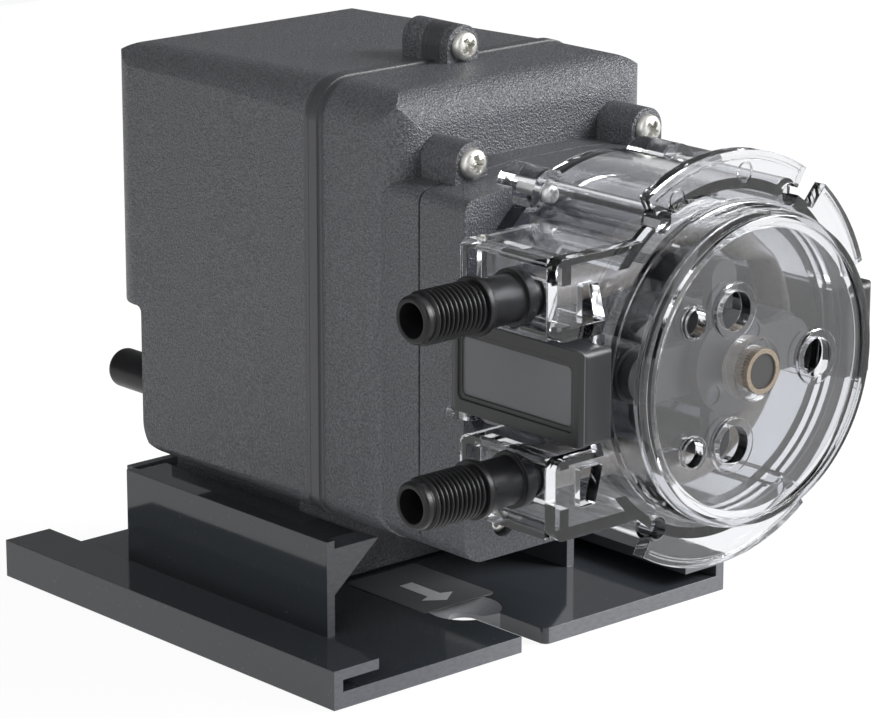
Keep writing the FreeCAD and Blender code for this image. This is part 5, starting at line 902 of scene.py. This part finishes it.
@dataclass
class Screws:
    """Cross-recessed pan-head screws in the case and under the clear flange."""

    head_radius: float = 4.15
    head_height: float = 2.6
    crown_power: float = 3.4
    shank_radius: float = 2.05
    length: float = 14.0
    recess_half_length: float = 2.6
    recess_half_width: float = 0.72
    recess_depth: float = 1.9
    recess_wall: float = 0.2
    recess_end: float = 0.7
    rings: int = 30
    sides: int = 96
    case_seats: tuple[Seat, ...] = (((0.0, -43.8, 170.0), 0.5, 1.0), ((-33.1, -83.8, 148.1), 0.2, 1.0),
                                    ((33.1, -83.8, 148.1), 0.9, 1.0), ((-33.1, -93.4, 50.6), 0.7, 1.0),
                                    ((33.1, -93.4, 50.6), 1.2, 1.0))
    head_circle: float = 48.0
    head_seat: float = 7.6
    head_angles: tuple[float, ...] = (60.0, 120.0, -60.0, -120.0)
    head_size: float = 0.67

    def recess(self, x: float, y: float) -> float:
        """Depth of the cross recess at a point of the head.

        Args:
            x: Distance along one arm.
            y: Distance along the other.

        Returns:
            The depth below the head's crown.
        """
        deepest = 0.0
        for along, across in ((abs(x), abs(y)), (abs(y), abs(x))):
            wall = max(0.0, min(1.0, (self.recess_half_width - across) / self.recess_wall + 0.5))
            end = max(0.0, min(1.0, (self.recess_half_length - along) / self.recess_end))
            deepest = max(deepest, wall * end)
        return deepest * self.recess_depth

    def part(self) -> bpy.types.Object:
        """One screw that looks along +Z, with its seat at the origin.

        Returns:
            The screw as a loose object.
        """
        form = bmesh.new()
        crown = form.verts.new((0, 0, self.head_height - self.recess_depth))
        before = None
        for ring in range(1, self.rings + 1):
            radius = self.head_radius * ring / self.rings
            drop = (1 - (ring / self.rings) ** self.crown_power) ** (1 / self.crown_power)
            now = []
            for side in range(self.sides):
                turn = 2 * math.pi * side / self.sides
                x, y = radius * math.cos(turn), radius * math.sin(turn)
                now.append(form.verts.new((x, y, self.head_height * drop - self.recess(x, y))))
            before = self.join(form, before, now, crown)
        for radius, level in ((self.shank_radius, 0.0), (self.shank_radius, -self.length)):
            now = [form.verts.new((radius * math.cos(2 * math.pi * side / self.sides),
                                   radius * math.sin(2 * math.pi * side / self.sides), level))
                   for side in range(self.sides)]
            before = self.join(form, before, now, crown)
        form.faces.new(before)
        return put("screw_part", finished(form, "screw_part"))

    def join(self, form: bmesh.types.BMesh, before: list | None, now: list,
             crown: bmesh.types.BMVert) -> list:
        """Close one ring of the screw to the ring before it.

        Args:
            form: The mesh being built.
            before: The ring before, or None at the crown.
            now: The new ring.
            crown: The middle point.

        Returns:
            The new ring.
        """
        for side in range(self.sides):
            after = (side + 1) % self.sides
            if before is None:
                form.faces.new((crown, now[side], now[after]))
            else:
                form.faces.new((before[side], now[side], now[after], before[after]))
        return now

    def build(self) -> None:
        """Set the screws on the case and the clear housing."""
        part = self.part()
        pattern = repeating_pattern()
        self.place(pattern, part, "case_screw_set", self.case_seats, "case_screws")
        bolts = []
        for degrees in self.head_angles:
            turn = math.radians(degrees)
            seat = (self.head_circle * math.cos(turn), CASE_FRONT_Y - self.head_seat,
                    HEAD_Z + self.head_circle * math.sin(turn))
            # The number of degrees is also each cross's own turn, so that no two line up.
            bolts.append((seat, degrees, self.head_size))
        self.place(pattern, part, "head_screw_set", bolts, "tube_housing_screws")
        bpy.data.objects.remove(part)

    def place(self, pattern: Pattern, part: bpy.types.Object, name: str, seats: Sequence[Seat],
              node: str) -> None:
        """Repeat the screw over its seats.

        Args:
            pattern: The repeating tree.
            part: The screw.
            name: The set's name.
            seats: Place, turn in radians and size of each screw.
            node: The solid that the set stands for.
        """
        facings = [(Facing.FRONT.turn() @ Matrix.Rotation(turn, 4, "Z")).to_euler() for _, turn, _ in seats]
        host = point_host(name, [Vector(seat) for seat, _, _ in seats], facings,
                          [size for _, _, size in seats])
        steel = FINISHES["screw_steel"].material()
        mesh = pattern.plain_mesh(host, {"Part": part, "Finish": steel, "Size": 1.0})
        Piece(name, "pump", "screw_steel", (node,), sharp_above=40.0).from_mesh(mesh)


@dataclass
class TubeFitting:
    """Threaded fitting on each arm of the tube housing."""

    tip_x: float = -95.3
    y: float = -129.5
    offset: float = 24.5
    bore: float = 4.55
    lead_radius: float = 6.4
    lead_bevel: float = 0.6
    lead_slope: float = 0.7
    lead_step: float = 0.3
    root_radius: float = 6.3
    thread_start: float = 2.6
    thread_end: float = 20.3
    pitch: float = 1.55
    collar_radius: float = 8.0
    collar_end: float = 22.3
    collar_bevel: float = 0.2
    barrel_radius: float = 6.7
    barrel_taper: float = 0.15
    barrel_end: float = 33.8
    disc_radius: float = 7.8
    disc_end: float = 37.1
    neck_radius: float = 5.2
    neck_end: float = 40.7
    foot_radius: float = 6.1
    foot_end: float = 42.2
    hose_radius: float = 2.9
    hose_cone: float = 2.0
    rounding: float = 0.35
    run_in: float = 0.7
    run_out: float = 0.9
    ridge_middle: float = 0.34
    ridge_height: float = 0.9
    ridge_foot: float = 1.25
    ridge_crest: float = 0.35

    def outline(self) -> list[tuple[float, float]]:
        """Section of the fitting from its tip to its foot, as (radius, length) points."""
        return [(self.bore, 0.0), (self.lead_radius - self.lead_bevel, 0.0),
                (self.lead_radius, self.lead_slope), (self.lead_radius, self.thread_start - self.lead_step),
                (self.root_radius, self.thread_start),
                (self.root_radius, self.thread_end), (self.collar_radius, self.thread_end),
                (self.collar_radius, self.collar_end),
                (self.barrel_radius, self.collar_end + self.collar_bevel),
                (self.barrel_radius - self.barrel_taper, self.barrel_end),
                (self.disc_radius, self.barrel_end), (self.disc_radius, self.disc_end),
                (self.neck_radius, self.disc_end),
                (self.neck_radius, self.neck_end), (self.foot_radius, self.neck_end),
                (self.foot_radius, self.foot_end), (self.hose_radius, self.foot_end),
                (self.hose_radius, self.barrel_end), (self.bore, self.barrel_end - self.hose_cone)]

    def build(self) -> None:
        """Build both fittings and wind their threads."""
        pattern = thread_pattern()
        finish = FINISHES["black_fitting_plastic"].material()
        for side, name in ((1, "upper_tube_fitting"), (-1, "lower_tube_fitting")):
            place = Matrix.Translation((self.tip_x, self.y, HEAD_Z + side * self.offset))
            turn = Facing.RIGHT.turn()
            body = Turned(softened(self.outline(), self.rounding)).mesh(name + "_body", place @ turn)
            Piece(name + "_body", "pump", "black_fitting_plastic", (name,)).from_mesh(body)
            host = point_host(name + "_thread", [Vector((0, 0, 0))], [Euler((0, 0, 0))], [1.0])
            length = self.thread_end - self.thread_start - self.run_in - self.run_out
            sizes = {"Root radius": self.root_radius + self.ridge_middle, "Length": length,
                     "Pitch": self.pitch, "Ridge height": self.ridge_height, "Ridge foot": self.ridge_foot,
                     "Ridge crest": self.ridge_crest, "Finish": finish}
            mesh = pattern.plain_mesh(host, sizes)
            mesh.transform(place @ turn @ Matrix.Translation((0, 0, self.thread_start + self.run_in)))
            Piece(name + "_thread", "pump", "black_fitting_plastic", sharp_above=50.0).from_mesh(mesh)


@dataclass
class BracketLabel:
    """Printed arrow on the bracket's film label."""

    top: float = 5.0
    lift: float = 0.06
    tail: tuple[float, float] = (-1.2, -20.6)
    tip: tuple[float, float] = (-1.3, -38.9)
    shaft_half: float = 2.4
    head_half: float = 6.0
    head_length: float = 4.2
    neck_length: float = 5.7

    def build(self) -> None:
        """A thin white arrow that points to the bracket's slotted end."""
        tail, tip = Vector(self.tail), Vector(self.tip)
        ahead = (tip - tail).normalized()
        side = Vector((-ahead.y, ahead.x))
        neck, barb = tip - ahead * self.neck_length, tip - ahead * self.head_length
        outline = [tail + side * self.shaft_half, neck + side * self.shaft_half, barb + side * self.head_half,
                   tip, barb - side * self.head_half, neck - side * self.shaft_half,
                   tail - side * self.shaft_half]
        form = bmesh.new()
        base = form.faces.new([form.verts.new((p.x, p.y, self.top)) for p in outline])
        raised = bmesh.ops.extrude_face_region(form, geom=[base])
        bmesh.ops.translate(form, verts=[v for v in raised["geom"] if isinstance(v, bmesh.types.BMVert)],
                            vec=(0, 0, self.lift))
        arrow = finished(form, "label_arrow")
        Piece("label_arrow", "bracket", "label_film", finish=PrintInk("label_ink")).from_mesh(arrow)


@dataclass
class DressedSolids:
    """The solids that keep their own shape and take a finish."""

    def build(self) -> None:
        """Give every solid the finish that its slot names."""
        slots = {row["node"]: row["material_slot"] for row in frame["record"]["subparts"]}
        for name, solid in frame["nodes"].items():
            finish = BLACKENED if name == "carrier_screws" else FINISHES[slots[name]]
            solid.data.materials.clear()
            solid.data.materials.append(finish.material())
            LOG.info("%s dressed in %s", name, finish.name)


@dataclass(frozen=True)
class SoftBox:
    """A rectangular lamp, in metres and watts."""

    name: str
    place: Place
    size: tuple[float, float]
    power: float

    def hang(self, aim: Place) -> None:
        """Hang the lamp so that it looks at a point."""
        lamp = bpy.data.lights.new(self.name, "AREA")
        lamp.shape = "RECTANGLE"
        lamp.size, lamp.size_y = self.size
        lamp.energy = self.power
        made = put(self.name, lamp)
        made.location = self.place
        made.rotation_mode = "QUATERNION"
        made.rotation_quaternion = (Vector(aim) - Vector(self.place)).to_track_quat("-Z", "Y")


@dataclass(frozen=True)
class DarkCard:
    """An upright card between two upright edges, in metres, that only soft light and reflections meet."""

    name: str
    start: tuple[float, float]
    end: tuple[float, float]
    low: float
    high: float
    tone: Colour = (0.13, 0.13, 0.13, 1.0)

    def stand(self) -> None:
        """Stand the card in the studio."""
        mesh = bpy.data.meshes.new(self.name)
        corners = [(*self.start, self.low), (*self.end, self.low), (*self.end, self.high),
                   (*self.start, self.high)]
        mesh.from_pydata(corners, [], [(0, 1, 2, 3)])
        desk = Desk(self.name + "_card")
        mesh.materials.append(desk.close(desk.shader(Base_Color=self.tone, Roughness=0.8)))
        made = put(self.name, mesh)
        made.visible_camera = False
        made.visible_transmission = False


@dataclass
class Studio:
    """Pale floor, soft boxes, dark cards for the reflections, white surround and camera, in metres."""

    floor_side: float = 14.0
    floor_level: float = -0.0004
    camera_place: Place = (-0.7082, -0.8233, 0.3753)
    camera_azimuth: float = -41.92
    camera_elevation: float = 15.72
    camera_roll: float = 0.07
    lens: float = 156.1
    white: Colour = (1.0, 1.0, 1.0, 1.0)
    ambient: float = 0.33
    paper: Colour = (0.95, 0.95, 0.95, 1.0)
    floor_glow: float = 1.08
    floor_share: float = 0.85
    middle: Place = (0.0, -0.04, 0.09)
    cards: tuple[DarkCard, ...] = (DarkCard("rear_flag", (-1.2, 0.85), (3.0, 0.85), 0.0, 2.6),
                                   DarkCard("left_flag", (-2.1, -2.2), (-2.1, 1.2), 0.5, 2.8),
                                   DarkCard("front_flag", (-2.1, -2.2), (1.6, -2.2), 0.6, 2.8))
    boxes: tuple[SoftBox, ...] = (SoftBox("right_box", (0.84, -0.81, 0.74), (0.85, 0.6), 26.0),
                                  SoftBox("left_box", (-1.5, -0.5, 0.9), (1.7, 1.5), 16.0),
                                  SoftBox("front_strip", (0.75, -1.45, 0.75), (0.35, 1.3), 4.0))

    def white_for_view(self, tree: Tree) -> Socket:
        """Mask of camera, mirror and see-through rays.

        Args:
            tree: The tree that uses it.

        Returns:
            1 for those rays, else 0.
        """
        light = tree.node("ShaderNodeLightPath")
        seen = light.outputs["Is Camera Ray"]
        for kind in ("Is Transmission Ray", "Is Glossy Ray"):
            either = tree.node("ShaderNodeMath", operation="MAXIMUM")
            tree.link(seen, either.inputs[0])
            tree.link(light.outputs[kind], either.inputs[1])
            seen = either.outputs[0]
        return seen

    def world(self) -> None:
        """Soft grey light all round, white where it is seen."""
        world = bpy.data.worlds.new("studio")
        world.use_nodes = True
        tree = Tree(world.node_tree)
        world.node_tree.nodes.clear()
        mixed = tree.node("ShaderNodeMixShader")
        for socket, strength in ((mixed.inputs[1], self.ambient), (mixed.inputs[2], 1.0)):
            light = tree.node("ShaderNodeBackground")
            light.inputs["Color"].default_value = self.white
            light.inputs["Strength"].default_value = strength
            tree.link(light.outputs[0], socket)
        tree.link(self.white_for_view(tree), mixed.inputs[0])
        tree.link(mixed.outputs[0], tree.node("ShaderNodeOutputWorld").inputs[0])
        bpy.context.scene.world = world

    def floor(self) -> None:
        """Plain pale floor that keeps the object's shadow."""
        half = self.floor_side / 2
        mesh = bpy.data.meshes.new("floor")
        corners = [(-half, -half), (half, -half), (half, half), (-half, half)]
        mesh.from_pydata([(x, y, self.floor_level) for x, y in corners], [], [(0, 1, 2, 3)])
        desk = Desk("floor_paper")
        paper = desk.shader(Base_Color=self.paper, Roughness=0.9, Specular_IOR_Level=0.1)
        glow = desk.node("ShaderNodeEmission")
        glow.inputs["Strength"].default_value = self.floor_glow
        mixed = desk.node("ShaderNodeMixShader")
        share = desk.math("MULTIPLY", self.white_for_view(desk), self.floor_share)
        desk.link(share, mixed.inputs[0])
        desk.link(paper.outputs[0], mixed.inputs[1])
        desk.link(glow.outputs[0], mixed.inputs[2])
        mesh.materials.append(desk.close(mixed))
        put("floor", mesh)

    def camera(self) -> None:
        """The photograph's camera."""
        lens = bpy.data.cameras.new("camera")
        lens.lens = self.lens
        lens.sensor_width = 36.0
        lens.clip_start, lens.clip_end = 0.01, 50.0
        made = put("camera", lens)
        azimuth, elevation = math.radians(self.camera_azimuth), math.radians(self.camera_elevation)
        back = Vector((math.sin(azimuth) * math.cos(elevation), -math.cos(azimuth) * math.cos(elevation),
                       math.sin(elevation)))
        made.rotation_mode = "QUATERNION"
        roll = Matrix.Rotation(math.radians(self.camera_roll), 3, "Z").to_quaternion()
        made.rotation_quaternion = (-back).to_track_quat("-Z", "Y") @ roll
        made.location = self.camera_place
        bpy.context.scene.camera = made

    def build(self) -> None:
        """Set up the whole studio."""
        self.world()
        self.floor()
        for card in self.cards:
            card.stand()
        for box in self.boxes:
            box.hang(self.middle)
        self.camera()
        bpy.context.scene.view_settings.view_transform = "Standard"


def main() -> None:
    """Build the pieces in order, then the studio."""
    logging.basicConfig(level=logging.INFO, format="%(message)s")
    for maker in (DressedSolids(), Screws(), TubeFitting(), BracketLabel(), Studio()):
        maker.build()


if __name__ == "__main__":
    main()
